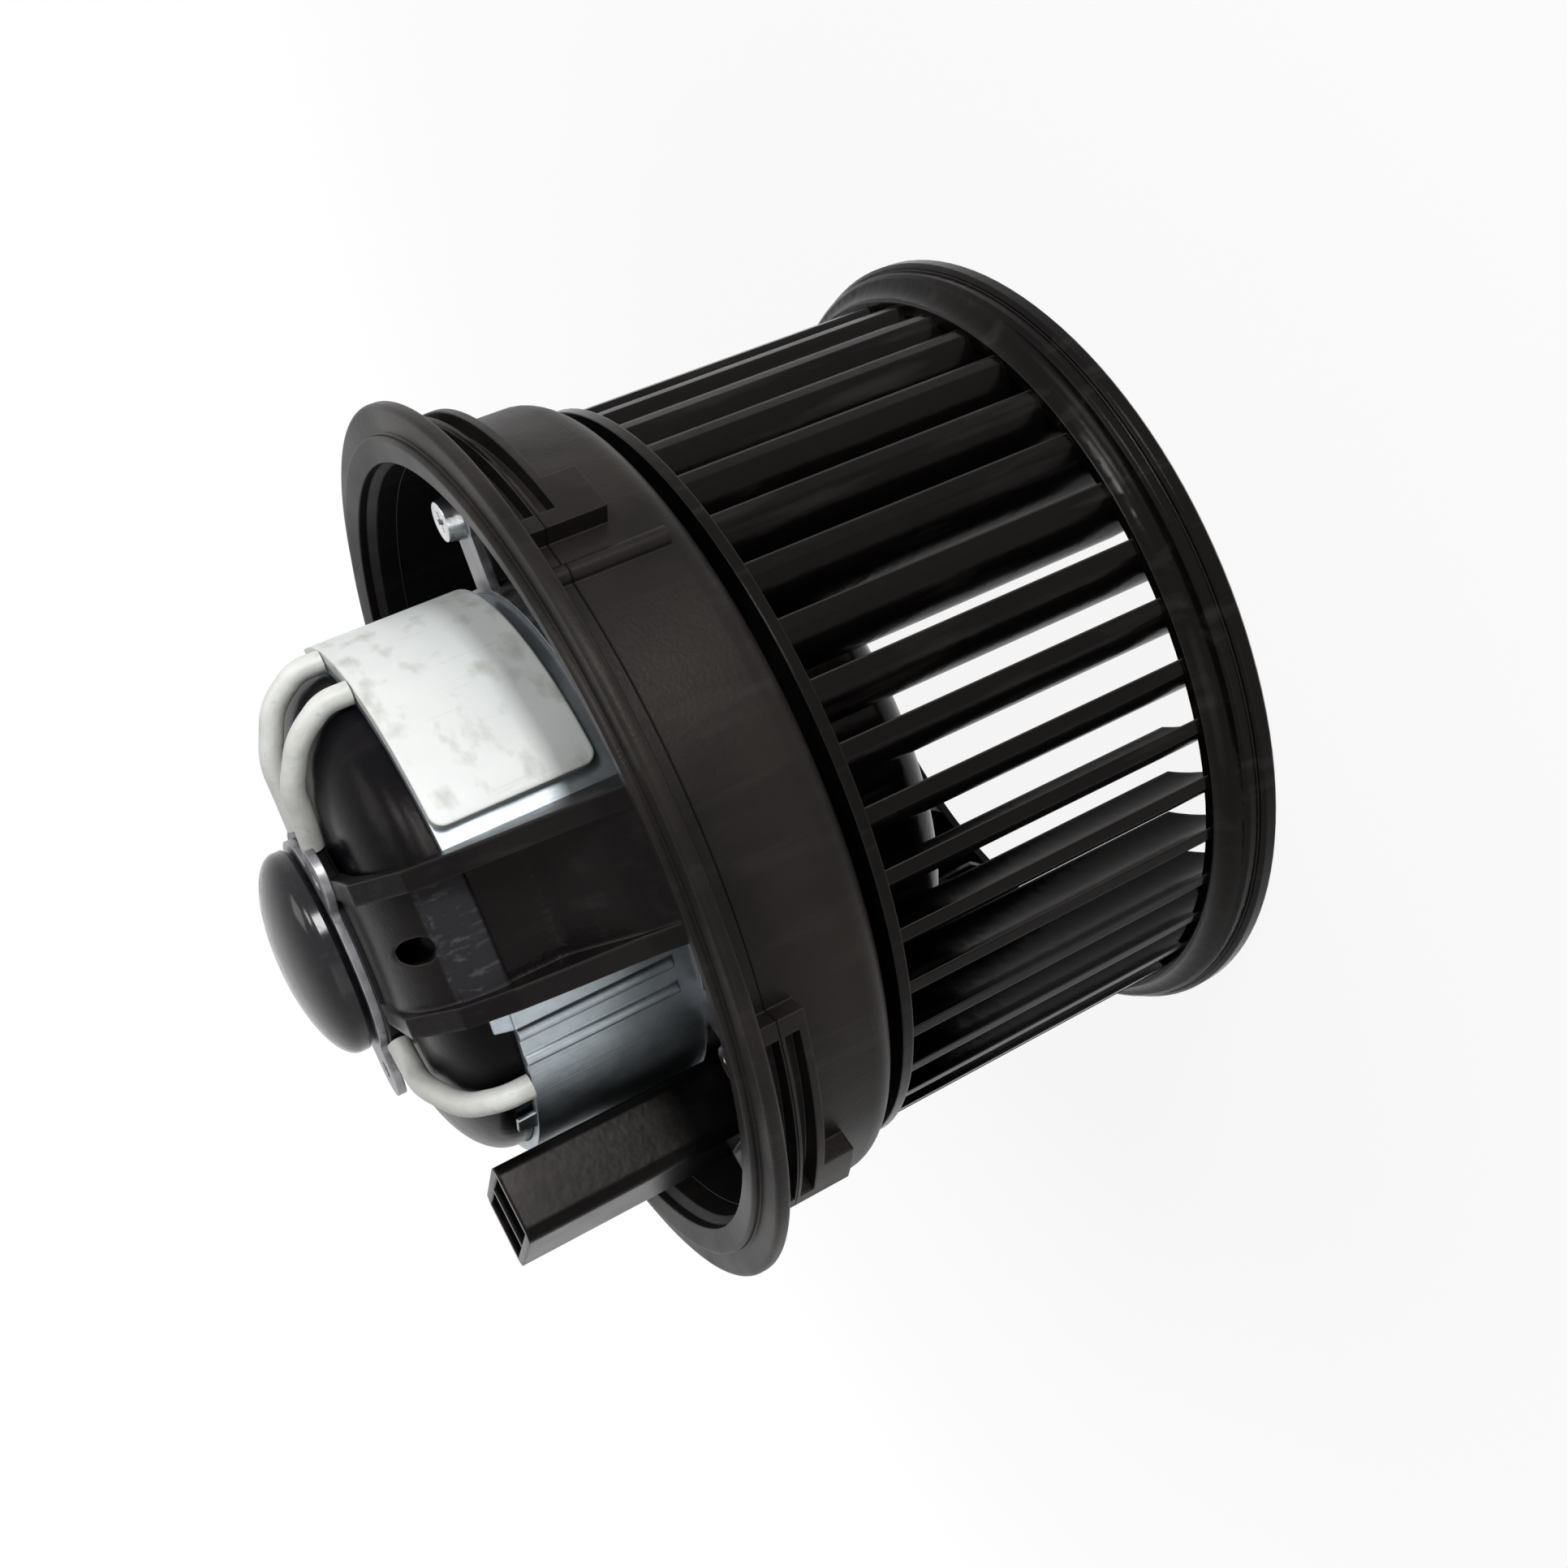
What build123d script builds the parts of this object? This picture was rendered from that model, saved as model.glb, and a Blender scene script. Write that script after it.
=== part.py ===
"""Car cabin blower motor: a drum fan wheel on a direct-current motor, held in a flanged plastic housing.

Millimetres. The shaft is the Z axis. The origin is the centre of the wheel's intake rim, on which
the part stands, and +Z points to the motor's tail. Angles are measured about Z from +X, the middle
of the front cradle arm.
"""

import os
from math import cos, degrees, radians, sin, tan

from build123d import *

os.makedirs("parts", exist_ok=True)

# How far a rib, wall or boss reaches into what carries it, so that the two fuse
joint_sink = 0.5

# Housing: flange, collar drum and floor
flange_face_z = 103.0
flange_t = 2.6
flange_land_w = 5.0
seat_ring_w = 4.6
seat_ring_rise = 1.5
seat_ring_slope = 0.9
opening_step = 1.6
motor_space = 25.5
collar_wall = 2.5
collar_len = 28.0
collar_shoulder = 5.0
floor_t = 2.5
floor_bore_gap = 4.0
opening_edge = 1.0
flange_round = 0.9
seat_ring_round = 0.8
floor_round = 2.0

# Bayonet latches on the collar: centre angle and half span in degrees
latches = {"upper": (66.0, 25.0), "lower": (-37.0, 17.0), "rear": (-165.0, 17.0)}
latch_rise = 3.6
latch_len = 8.6
latch_slot_w = 2.6
latch_slot_ridge = 1.0
latch_slot_floor = 0.4
latch_end_wall = 3.0
latch_block_w = 10.0
latch_block_len = 5.5
collar_rib_angle = 36.0
collar_rib_r = 1.7

# Cradle arms
arm_angles = (0.0, 180.0)
arm_w = 25.4
arm_wall = 3.4
arm_clear = 1.2
web_t = 2.0
web_inset = 0.4
web_foot_drop = 4.5
web_step_len = 9.9
web_bulge_len = 9.0
web_bulge_rise = 9.8
web_plateau_len = 8.0
web_plateau_gap = 6.5
pad_overlap = 2.1
pad_rise = 1.3
pad_rise_len = 5.0
pad_end_drop = 1.0
pad_end_root = 3.2
arm_tail_len = 10.5
arm_slope_w = 4.5
arm_slope_h = 6.5
arm_crest_rise = 7.8
arm_crest_h = 8.5
arm_crest_flare = 2.8
wall_proud = 2.0
bulge_round = 3.5
tab_slot_drop = 2.6
tab_slot_len = 5.0
tab_slot_w = 4.2
tail_ring_r = 21.0
tail_ring_t = 2.6
tail_ring_gap = 0.8
tail_ring_root = 2.0

# Connector arm
connector_angle = -64.0
connector_w = 24.0
connector_gap = 2.2
connector_depth = 13.4
connector_rise = 10.0
connector_round = 2.2
connector_tie_h = 18.9
socket_wall = 1.6
socket_depth = 15.0
terminal_w = 6.3
terminal_t = 0.8
terminal_gap = 2.2
terminal_short = 3.0

# Motor can, end bell and bands
can_r = 46.0
can_wall = 1.8
can_len = 68.0
can_tail_rise = 23.0
can_rib_angles = (-24.0, -30.5)
can_rib_r = 1.25
can_rib_len = 27.0
can_rib_sink = 0.3
can_corner = 5.0
can_boss_r = 10.5
can_boss_len = 4.0
can_boss_wall = 0.8
vent_count = 4
vent_circle_r = 26.0
vent_len = 16.0
vent_w = 6.0
bell_fit = 0.1
bell_lip = 1.5
bell_rise = 9.5
bell_shoulder = 16.0
bell_wall = 2.4
bell_spigot = 5.0
bell_boss_r = 11.0
bell_boss_rise = 2.6
bell_boss_lip = 0.8
bell_bore_gap = 1.0
band_t = 0.9
band_h = 7.0
ear_drop = 9.5
ear_t = 1.8
ear_r = 5.6
ear_neck = 8.4
ear_hole_gap = 0.3
screw_angles = (82.0, -38.0, -158.0)
screw_offset = 14.0
screw_r = 2.0
screw_head_r = 4.2
screw_head_t = 3.0
screw_head_taper = 12.0
screw_len = 12.0
screw_tip_gap = 1.0
recess_len = 3.6
recess_w = 0.9
recess_depth = 1.6
boss_r = 5.0
boss_rib_t = 2.4

# Nylon cover plate
cover_gap = 0.05
cover_t = 2.0
cover_len = 27.5
cover_from = 19.0
cover_to = 96.0
cover_corner = 2.2

# Tail plate and cap
plate_t = 1.5
plate_hub_r = 19.4
plate_ear_circle_r = 23.0
plate_ear_r = 5.0
plate_ear_hole_r = 1.6
plate_ear_angles = (35.0, 155.0, -85.0)
plate_corner = 2.0
cap_r = 18.4
cap_rise = 9.0
cap_stem_r = 8.0
cap_edge = 2.6
cap_edge_slope = 1.2
cap_crown_arc = 78.0

# Sleeved leads: for each, its angle at the can, its angle at the tail ring and how far it bulges
lead_runs = {
    "lead_upper": (57.0, 57.0, 0.4),
    "lead_far": (76.0, 80.0, 0.8),
    "lead_lower": (-37.0, -56.0, 0.2),
}
lead_r = 2.0
lead_gap = 0.3
lead_foot_r = 46.4
lead_foot_len = 4.8
lead_shoulder_r = 41.5
lead_shoulder_rise = 10.2
lead_flat_r = 32.7
lead_tuck = 6.0
lead_bend_share = 0.45

# Fan wheel
blade_count = 42
blade_depth = 11.5
blade_hub_gap = 3.0
blade_t = 1.7
blade_sweep = 4.6
blade_bow = 2.4
blade_chamfer = 5.0
wheel_gap = 2.4
hub_disc_t = 2.0
hub_ring_proud = 1.1
hub_wall = 2.2
hub_can_gap = 2.8
hub_shoulder = 16.0
hub_step_r = 30.0
hub_step = 2.5
hub_shoulder_h = 12.0
hub_flare = 4.0
hub_nose_len = 15.0
hub_boss_r = 8.0
hub_boss_len = 9.0
hub_boss_rise = 3.0
hub_boss_slope = 1.0
rim_lip_proud = 1.2
rim_lip_t = 3.2
rim_inner_step = 4.5
rim_step_w = 4.5
rim_band_t = 0.9
rim_band_sink = 1.2
rim_band_h = 9.6
rim_flare_h = 4.0
rim_edge = 0.6
rim_mouth_r = 3.0
rim_mouth_h = 1.5

# Shaft, bearings and armature
shaft_r = 3.0
shaft_proud = 5.0
fit = 0.03
bearing_r = 7.0
bearing_len = 8.0
washer_t = 1.0
washer_r = 6.0
retainer_t = 0.8
front_retainer_r = 13.0
shaft_chamfer = 0.5
clip_t = 1.4
clip_r = 6.5
clip_notch_count = 4
clip_notch_len = 1.6
clip_notch_w = 1.2
air_gap = 0.8
magnet_t = 4.4
magnet_len = 42.0
magnet_span = 130.0
core_len = 32.0
core_offset = 14.0
core_hub_r = 15.0
slot_count = 12
tooth_w = 5.0
tooth_tip = 2.6
slot_mouth = 2.4
coil_head = 7.0
coil_round = 2.5
coil_gap = 0.6
commutator_r = 11.0
commutator_len = 10.0
commutator_bars = 12
commutator_overlap = 3.0
bar_slot_depth = 1.2
bar_slot_w = 0.7
card_t = 2.4
card_slot_circle_r = 32.0
card_slot_len = 18.0
card_slot_w = 7.0
card_edge_gap = 0.4
card_bore_gap = 2.5
holder_gap = 3.0
holder_extra = 5.0
holder_wall = 1.1
brush_w = 6.0
brush_h = 5.0
brush_len = 11.0
brush_gap = 0.1
spring_r = 2.1
spring_wire = 0.7
spring_len = 6.5
choke_r = 3.2
choke_len = 13.0
choke_offset = 24.0

# Radii that follow from the sizes above: the can carries the arms, and the space round it gives the
# collar, the flange and the wheel their widths
collar_bore_r = can_r + motor_space
collar_r = collar_bore_r + collar_wall
opening_r = collar_r - opening_step
seat_ring_r = opening_r + seat_ring_w
flange_r = seat_ring_r + flange_land_w
floor_bore_r = can_r + floor_bore_gap
arm_in_r = can_r + arm_clear
web_in_r = arm_in_r + web_inset
web_out_r = arm_in_r + web_t
web_bulge_r = web_out_r + web_bulge_rise
web_plateau_r = collar_bore_r - web_plateau_gap
arm_crest_r = arm_in_r + arm_crest_rise
arm_slope_r = arm_crest_r - arm_slope_w
arm_tail_r = arm_slope_r - arm_tail_len
connector_r_in = can_r + connector_gap
connector_r_out = connector_r_in + connector_depth
screw_circle_r = can_r + screw_offset
hub_in_r = can_r + hub_can_gap
hub_out_r = hub_in_r + hub_wall
blade_r_in = hub_out_r + hub_flare + blade_hub_gap
blade_r_out = blade_r_in + blade_depth
hub_ring_r = blade_r_out + hub_ring_proud
rim_inner_r = blade_r_in + rim_inner_step
rim_step_r = blade_r_out + rim_step_w
rim_r = rim_step_r + rim_lip_proud

# Heights that follow from the flange's face
collar_end_z = flange_face_z - collar_len
floor_top_z = collar_end_z + floor_t
flange_back_z = flange_face_z - flange_t
ear_z = flange_face_z - ear_drop
can_tail_z = flange_face_z + can_tail_rise
can_front_z = can_tail_z - can_len
connector_top_z = can_tail_z + connector_rise
hub_top_z = can_front_z - hub_nose_len
shaft_front_z = hub_top_z - hub_boss_len - shaft_proud
core_z = can_front_z + core_offset
bell_base_z = can_tail_z + bell_lip
bell_top_z = bell_base_z + bell_rise
bell_r = can_r - can_wall - bell_fit
bell_boss_top_z = bell_top_z + bell_boss_rise
tail_ring_z = bell_top_z + tail_ring_gap
tail_plate_z = tail_ring_z + tail_ring_t
cap_z = tail_plate_z + plate_t
pad_start_z = bell_base_z - pad_overlap
web_step_z = pad_start_z - web_step_len
web_bulge_z = web_step_z - web_bulge_len
web_plateau_z = web_bulge_z - web_plateau_len
web_foot_z = web_plateau_z - web_foot_drop
tab_slot_z = tail_ring_z - tab_slot_drop
hub_face_z = collar_end_z - wheel_gap
card_z = can_tail_z - bell_spigot - card_t
rear_bearing_z = bell_boss_top_z - bell_boss_lip - bearing_len
front_bearing_z = can_front_z - can_boss_len + can_boss_wall


def radial_plane(angle):
    """Plane through the shaft: its X runs outward at the angle, its Y runs along the shaft."""
    a = radians(angle)
    return Plane(origin=(0, 0, 0), x_dir=(cos(a), sin(a), 0), z_dir=(sin(a), -cos(a), 0))


def at(radius, angle, height=0.0):
    """Point at a radius and an angle about the shaft."""
    return (radius * cos(radians(angle)), radius * sin(radians(angle)), height)


def turned(radius, angle, height=0.0):
    """Place at a radius and an angle about the shaft, turned so that its X runs outward."""
    return Location(at(radius, angle, height), (0, 0, angle))


def corner_at(sketch, x, y):
    """The sketch's corner at a place, for a fillet."""
    return sketch.vertices().filter_by(lambda v: abs(v.X - x) + abs(v.Y - y) < 0.1)


def save(part, label):
    part.part.label = label
    export_step(part.part, "parts/" + label + ".step")


# Housing: the moulding's flange, collar, floor, latches and screw bosses. The cradle and the connector
# arm below belong to the same moulding, and stand in solids of their own
seat_edge_z = flange_face_z + seat_ring_rise
with BuildPart() as housing:
    with BuildSketch(Plane.XZ) as drum:
        with BuildLine():
            Polyline(
                (floor_bore_r, collar_end_z),
                (collar_r, collar_end_z),
                (collar_r, flange_back_z),
                (flange_r, flange_back_z),
                (flange_r, flange_face_z),
                (seat_ring_r, flange_face_z),
                (seat_ring_r, seat_edge_z),
                (opening_r, seat_edge_z - seat_ring_slope),
                (opening_r, flange_face_z - opening_edge),
                (collar_bore_r, flange_back_z),
                (collar_bore_r, floor_top_z),
                (floor_bore_r, floor_top_z),
                close=True,
            )
        make_face()
        fillet(corner_at(drum, collar_r, collar_end_z), collar_shoulder)
        fillet(drum.vertices().filter_by(lambda v: abs(v.X - flange_r) < 0.1), flange_round)
        fillet(corner_at(drum, seat_ring_r, seat_edge_z), seat_ring_round)
        fillet(corner_at(drum, collar_bore_r, floor_top_z), floor_round)
    revolve(axis=Axis.Z)

    # Latches: a raised frame with two long slots and a stop block at one end
    for middle, half_span in latches.values():
        first_angle = middle - half_span
        slot_edge = degrees(latch_end_wall / collar_r)
        with BuildSketch(radial_plane(first_angle)):
            with Locations((collar_r + (latch_rise - joint_sink) / 2, flange_back_z - latch_len / 2)):
                Rectangle(latch_rise + joint_sink, latch_len)
        revolve(axis=Axis.Z, revolution_arc=2 * half_span)
        for row in range(2):
            slot_pitch = latch_slot_w + latch_slot_ridge
            slot_z = flange_back_z - slot_pitch + latch_slot_w / 2 - row * slot_pitch
            with BuildSketch(radial_plane(first_angle + slot_edge)):
                with Locations((collar_r + latch_rise / 2 + latch_slot_floor, slot_z)):
                    Rectangle(latch_rise, latch_slot_w)
            revolve(axis=Axis.Z, revolution_arc=2 * (half_span - slot_edge), mode=Mode.SUBTRACT)
        with BuildSketch(radial_plane(first_angle)):
            block_z = flange_back_z - latch_len - latch_block_len / 2
            with Locations((collar_r + (latch_rise - joint_sink) / 2, block_z)):
                Rectangle(latch_rise + joint_sink, latch_block_len)
        revolve(axis=Axis.Z, revolution_arc=degrees(latch_block_w / collar_r))

    # Straight rib beside the upper latch
    with BuildSketch(Plane.XY.offset(collar_end_z + collar_shoulder)):
        with Locations(at(collar_r, collar_rib_angle)[:2]):
            Circle(collar_rib_r)
    extrude(amount=flange_back_z - collar_end_z - collar_shoulder)

    # Screw bosses on the floor, tied to the collar wall
    for angle in screw_angles:
        tie_end_r = collar_bore_r + joint_sink
        with BuildSketch(Plane.XY.offset(floor_top_z - joint_sink)):
            with Locations(at(screw_circle_r, angle)[:2]):
                Circle(boss_r)
            with Locations(turned((screw_circle_r + tie_end_r) / 2, angle)):
                Rectangle(tie_end_r - screw_circle_r, boss_rib_t)
        extrude(amount=ear_z - floor_top_z + joint_sink)
    with Locations([at(screw_circle_r, a, ear_z) for a in screw_angles]):
        Hole(screw_r + fit, depth=screw_len)
save(housing, "housing")

# Cradle: two channel-section arms that follow the can and the end bell to the tail ring
bell_curve = (bell_r - bell_shoulder, bell_base_z)
under_x = web_in_r - bell_curve[0]
under_y = tail_ring_z - bell_base_z
over_x = web_out_r - bell_curve[0]
over_y = under_y + web_t
wall_foot_r = collar_bore_r + joint_sink
wall_side = arm_w / 2 - arm_wall / 2
ring_root_r = tail_ring_r - tail_ring_root
with BuildPart() as cradle:
    for angle in arm_angles:
        for side in (-1, 1):
            with BuildSketch(radial_plane(angle).offset(side * wall_side)):
                with BuildLine():
                    under = EllipticalCenterArc(bell_curve, under_x, under_y, start_angle=0, arc_size=90)
                    Polyline(
                        under @ 1,
                        (ring_root_r, tail_ring_z),
                        (ring_root_r, tail_plate_z),
                        (arm_tail_r, tail_plate_z),
                        (arm_slope_r, tail_plate_z - arm_slope_h),
                        (arm_crest_r, can_tail_z),
                        (arm_crest_r + arm_crest_flare, can_tail_z - arm_crest_h),
                        (web_bulge_r + wall_proud, web_bulge_z),
                        (web_plateau_r, web_plateau_z),
                        (wall_foot_r, web_foot_z),
                        (wall_foot_r, floor_top_z),
                        (web_in_r, floor_top_z),
                        under @ 0,
                    )
                make_face()
            extrude(amount=arm_wall / 2, both=True)

        # Web: a recess beside the pad, a rounded rise, then a plateau that runs to the collar
        with BuildSketch(radial_plane(angle)) as web:
            with BuildLine():
                under = EllipticalCenterArc(bell_curve, under_x, under_y, start_angle=0, arc_size=90)
                over = EllipticalCenterArc(bell_curve, over_x, over_y, start_angle=0, arc_size=90)
                Polyline(
                    under @ 1,
                    (ring_root_r, tail_ring_z),
                    (ring_root_r, tail_ring_z + web_t),
                    over @ 1,
                )
                Polyline(
                    over @ 0,
                    (web_out_r, web_step_z),
                    (web_bulge_r, web_bulge_z),
                    (web_plateau_r, web_plateau_z),
                    (wall_foot_r, web_foot_z),
                    (wall_foot_r, web_foot_z - web_t),
                    (web_plateau_r - web_t / 2, web_plateau_z - web_t),
                    (web_bulge_r - web_t, web_bulge_z - web_t / 2),
                    (web_in_r, web_step_z - web_t / 2),
                    under @ 0,
                )
            make_face()
            fillet(corner_at(web, web_out_r, web_step_z), bulge_round)
            fillet(corner_at(web, web_bulge_r, web_bulge_z), bulge_round)
        extrude(amount=wall_side, both=True)
        with BuildSketch(radial_plane(angle)):
            Polygon(
                (web_out_r - joint_sink, pad_start_z),
                (web_out_r + pad_rise, pad_start_z),
                (web_out_r + pad_rise, bell_base_z),
                (web_out_r - pad_end_drop, bell_base_z + pad_rise_len),
                (web_out_r - pad_end_root, bell_base_z + pad_rise_len),
                (web_out_r - joint_sink, bell_base_z),
                align=None,
            )
        extrude(amount=wall_side, both=True)

    # Tail ring joining both arms behind the end bell
    with BuildSketch(Plane.XY.offset(tail_ring_z)):
        Circle(tail_ring_r)
        Circle(bell_boss_r + arm_clear, mode=Mode.SUBTRACT)
    extrude(amount=tail_ring_t)

    # Snap slot through each arm near the tail
    with BuildSketch(Plane.YZ):
        with Locations((0, tab_slot_z)):
            SlotOverall(tab_slot_len, tab_slot_w, rotation=90)
    extrude(amount=arm_crest_r, both=True, mode=Mode.SUBTRACT)
    add(housing.part, mode=Mode.SUBTRACT)
save(cradle, "cradle")

# Connector arm: a column from the floor with two open sockets at its end, tied to the collar
connector_mid_r = (connector_r_in + connector_r_out) / 2
socket_w = (connector_w - 3 * socket_wall) / 2
socket_d = connector_r_out - connector_r_in - 2 * socket_wall
socket_side = (socket_w + socket_wall) / 2
with BuildPart() as connector_arm:
    with BuildSketch(Plane.XY.offset(floor_top_z)):
        with Locations(turned(connector_mid_r, connector_angle)):
            RectangleRounded(connector_r_out - connector_r_in, connector_w, connector_round)
    extrude(amount=connector_top_z - floor_top_z)
    with BuildSketch(Plane.XY.offset(floor_top_z)):
        with Locations(turned((connector_r_out + collar_bore_r) / 2, connector_angle)):
            Rectangle(collar_bore_r - connector_r_out + 2 * joint_sink, connector_w / 2)
    extrude(amount=connector_tie_h)
    with BuildSketch(Plane.XY.offset(connector_top_z)):
        for side in (-1, 1):
            with Locations(turned(connector_mid_r, connector_angle) * Pos(0, side * socket_side, 0)):
                Rectangle(socket_d, socket_w)
    extrude(amount=-socket_depth, mode=Mode.SUBTRACT)
    add(housing.part, mode=Mode.SUBTRACT)
save(connector_arm, "connector_arm")

# Connector terminals: two flat blades standing in the sockets
terminal_z = connector_top_z - socket_depth
terminal_at_r = connector_r_in + socket_wall + terminal_gap
with BuildPart() as connector_terminals:
    for side in (-1, 1):
        with BuildSketch(Plane.XY.offset(terminal_z)):
            with Locations(turned(terminal_at_r, connector_angle) * Pos(0, side * socket_side, 0)):
                Rectangle(terminal_t, terminal_w)
        extrude(amount=socket_depth - terminal_short)
save(connector_terminals, "connector_terminals")

# Motor can: deep-drawn steel cup with a bearing boss, vent slots and two pressed ribs
with BuildPart() as motor_can:
    with BuildSketch(Plane.XZ) as cup:
        with BuildLine():
            Polyline(
                (bearing_r + fit, front_bearing_z - can_boss_wall),
                (can_boss_r, front_bearing_z - can_boss_wall),
                (can_boss_r, can_front_z),
                (can_r, can_front_z),
                (can_r, can_tail_z),
                (can_r - can_wall, can_tail_z),
                (can_r - can_wall, can_front_z + can_wall),
                (bearing_r + fit, can_front_z + can_wall),
                close=True,
            )
        make_face()
        fillet(corner_at(cup, can_r, can_front_z), can_corner)
        fillet(corner_at(cup, can_r - can_wall, can_front_z + can_wall), can_corner - can_wall)
    revolve(axis=Axis.Z)
    with BuildSketch(Plane.XY.offset(can_tail_z)):
        for angle in can_rib_angles:
            with Locations(at(can_r - can_rib_sink, angle)[:2]):
                Circle(can_rib_r)
        Circle(can_r - can_wall / 2, mode=Mode.SUBTRACT)
    extrude(amount=-can_rib_len)
    with BuildSketch(Plane.XY.offset(can_front_z)):
        with PolarLocations(vent_circle_r, vent_count, start_angle=45):
            SlotOverall(vent_len, vent_w, rotation=90)
    extrude(amount=can_wall, mode=Mode.SUBTRACT)
save(motor_can, "motor_can")

# Mounting band: a steel strap round the can with three ears for the screws
with BuildPart() as mounting_band:
    with BuildSketch(Plane.XY.offset(ear_z + ear_t - band_h)):
        Circle(can_r + band_t)
        Circle(can_r, mode=Mode.SUBTRACT)
    extrude(amount=band_h)
    with BuildSketch(Plane.XY.offset(ear_z)):
        for angle in screw_angles:
            ear_mid = (can_r + screw_circle_r) / 2
            with Locations(turned(ear_mid, angle)):
                Rectangle(screw_circle_r - can_r, ear_neck)
            with Locations(at(screw_circle_r, angle)[:2]):
                Circle(ear_r)
        Circle(can_r + band_t / 2, mode=Mode.SUBTRACT)
    extrude(amount=ear_t)
    with BuildSketch(Plane.XY.offset(ear_z)):
        with Locations([at(screw_circle_r, a)[:2] for a in screw_angles]):
            Circle(screw_r + ear_hole_gap)
    extrude(amount=ear_t, mode=Mode.SUBTRACT)
save(mounting_band, "mounting_band")

# Three pan-head screws, one group
with BuildPart() as mounting_screws:
    for angle in screw_angles:
        with BuildSketch(Plane.XY.offset(ear_z + ear_t)):
            with Locations(at(screw_circle_r, angle)[:2]):
                Circle(screw_head_r)
        extrude(amount=screw_head_t, taper=screw_head_taper)
        with BuildSketch(Plane.XY.offset(ear_z + ear_t)):
            with Locations(at(screw_circle_r, angle)[:2]):
                Circle(screw_r)
        extrude(amount=-(screw_len - screw_tip_gap))
        with BuildSketch(Plane.XY.offset(ear_z + ear_t + screw_head_t)):
            with Locations(turned(screw_circle_r, angle)):
                Rectangle(recess_len, recess_w)
                Rectangle(recess_w, recess_len)
        extrude(amount=-recess_depth, mode=Mode.SUBTRACT)
save(mounting_screws, "mounting_screws")

# End bell: moulded dome closing the can's tail, with the rear bearing seat
with BuildPart() as end_bell:
    with BuildSketch(Plane.XZ) as bell:
        with BuildLine():
            outer = EllipticalCenterArc(
                (bell_r - bell_shoulder, bell_base_z), bell_shoulder, bell_rise, start_angle=0, arc_size=90
            )
            inner_arc = EllipticalCenterArc(
                (bell_r - bell_shoulder, bell_base_z),
                bell_shoulder - bell_wall,
                bell_rise - bell_wall,
                start_angle=0, arc_size=90
            )
            Polyline(
                outer @ 1,
                (bell_boss_r, bell_top_z),
                (bell_boss_r, bell_boss_top_z),
                (shaft_r + bell_bore_gap, bell_boss_top_z),
                (shaft_r + bell_bore_gap, rear_bearing_z + bearing_len),
                (bearing_r + fit, rear_bearing_z + bearing_len),
                (bearing_r + fit, rear_bearing_z),
                (bell_boss_r, rear_bearing_z),
                (bell_boss_r, bell_top_z - bell_wall),
                inner_arc @ 1,
            )
            Polyline(
                inner_arc @ 0,
                (bell_r - bell_wall, can_tail_z - bell_spigot),
                (bell_r, can_tail_z - bell_spigot),
                outer @ 0,
            )
        make_face()
    revolve(axis=Axis.Z)
save(end_bell, "end_bell")

# Nylon cover plate wrapped over the can beside the front arm
with BuildPart() as cover_plate:
    with BuildSketch(radial_plane(cover_from)):
        with Locations((can_r + cover_gap + cover_t / 2, can_tail_z - cover_len / 2)):
            Rectangle(cover_t, cover_len)
    revolve(axis=Axis.Z, revolution_arc=cover_to - cover_from)
    ends = cover_plate.edges().filter_by(lambda e: e.length < cover_t + 0.1)
    fillet(ends, cover_corner)
save(cover_plate, "cover_plate")

# Tail plate: three-eared steel pressing on the tail ring
with BuildPart() as tail_plate:
    with BuildSketch(Plane.XY.offset(tail_plate_z)) as outline:
        Circle(plate_hub_r)
        for angle in plate_ear_angles:
            with Locations(at(plate_ear_circle_r, angle)[:2]):
                Circle(plate_ear_r)
            with Locations(turned(plate_ear_circle_r / 2, angle)):
                Rectangle(plate_ear_circle_r, 2 * plate_ear_r)
        roots = outline.vertices().filter_by(lambda v: Vector(v.X, v.Y, 0).length < plate_hub_r + 1)
        fillet(roots, plate_corner)
        Circle(cap_stem_r + fit, mode=Mode.SUBTRACT)
        with Locations([at(plate_ear_circle_r, a)[:2] for a in plate_ear_angles]):
            Circle(plate_ear_hole_r, mode=Mode.SUBTRACT)
    extrude(amount=plate_t)
save(tail_plate, "tail_plate")

# Mushroom cap pressed into the tail plate
with BuildPart() as tail_cap:
    with BuildSketch(Plane.XZ):
        with BuildLine():
            crown = EllipticalCenterArc(
                (0, cap_z + cap_edge), cap_r, cap_rise - cap_edge, start_angle=0, arc_size=cap_crown_arc
            )
            Polyline(
                crown @ 1,
                (0, cap_z + cap_rise),
                (0, cap_z - plate_t),
                (cap_stem_r, cap_z - plate_t),
                (cap_stem_r, cap_z),
                (cap_r - cap_edge_slope, cap_z),
                (cap_r, cap_z + cap_edge_slope),
                crown @ 0,
            )
        make_face()
    revolve(axis=Axis.Z)
save(tail_cap, "tail_cap")


def lead(points):
    """Round sleeve along straight runs joined by arcs as large as the runs allow."""
    corners = [Vector(*p) for p in points]
    radii = []
    for before, corner, after in zip(corners, corners[1:], corners[2:]):
        turn = radians((corner - before).get_angle(after - corner))
        shorter = min((corner - before).length, (after - corner).length)
        radii.append(lead_bend_share * shorter / tan(turn / 2))
    with BuildPart() as sleeve:
        with BuildLine() as route:
            FilletPolyline(*corners, radius=radii)
        with BuildSketch(Plane(origin=route.line @ 0, z_dir=route.line % 0)):
            Circle(lead_r)
        sweep()
    return sleeve


# Sleeved leads: each climbs from the can's tail edge and lies over the end bell, as far as the tail ring
lead_end_r = tail_ring_r + lead_gap
lead_top_z = bell_top_z + lead_r + lead_gap


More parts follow.
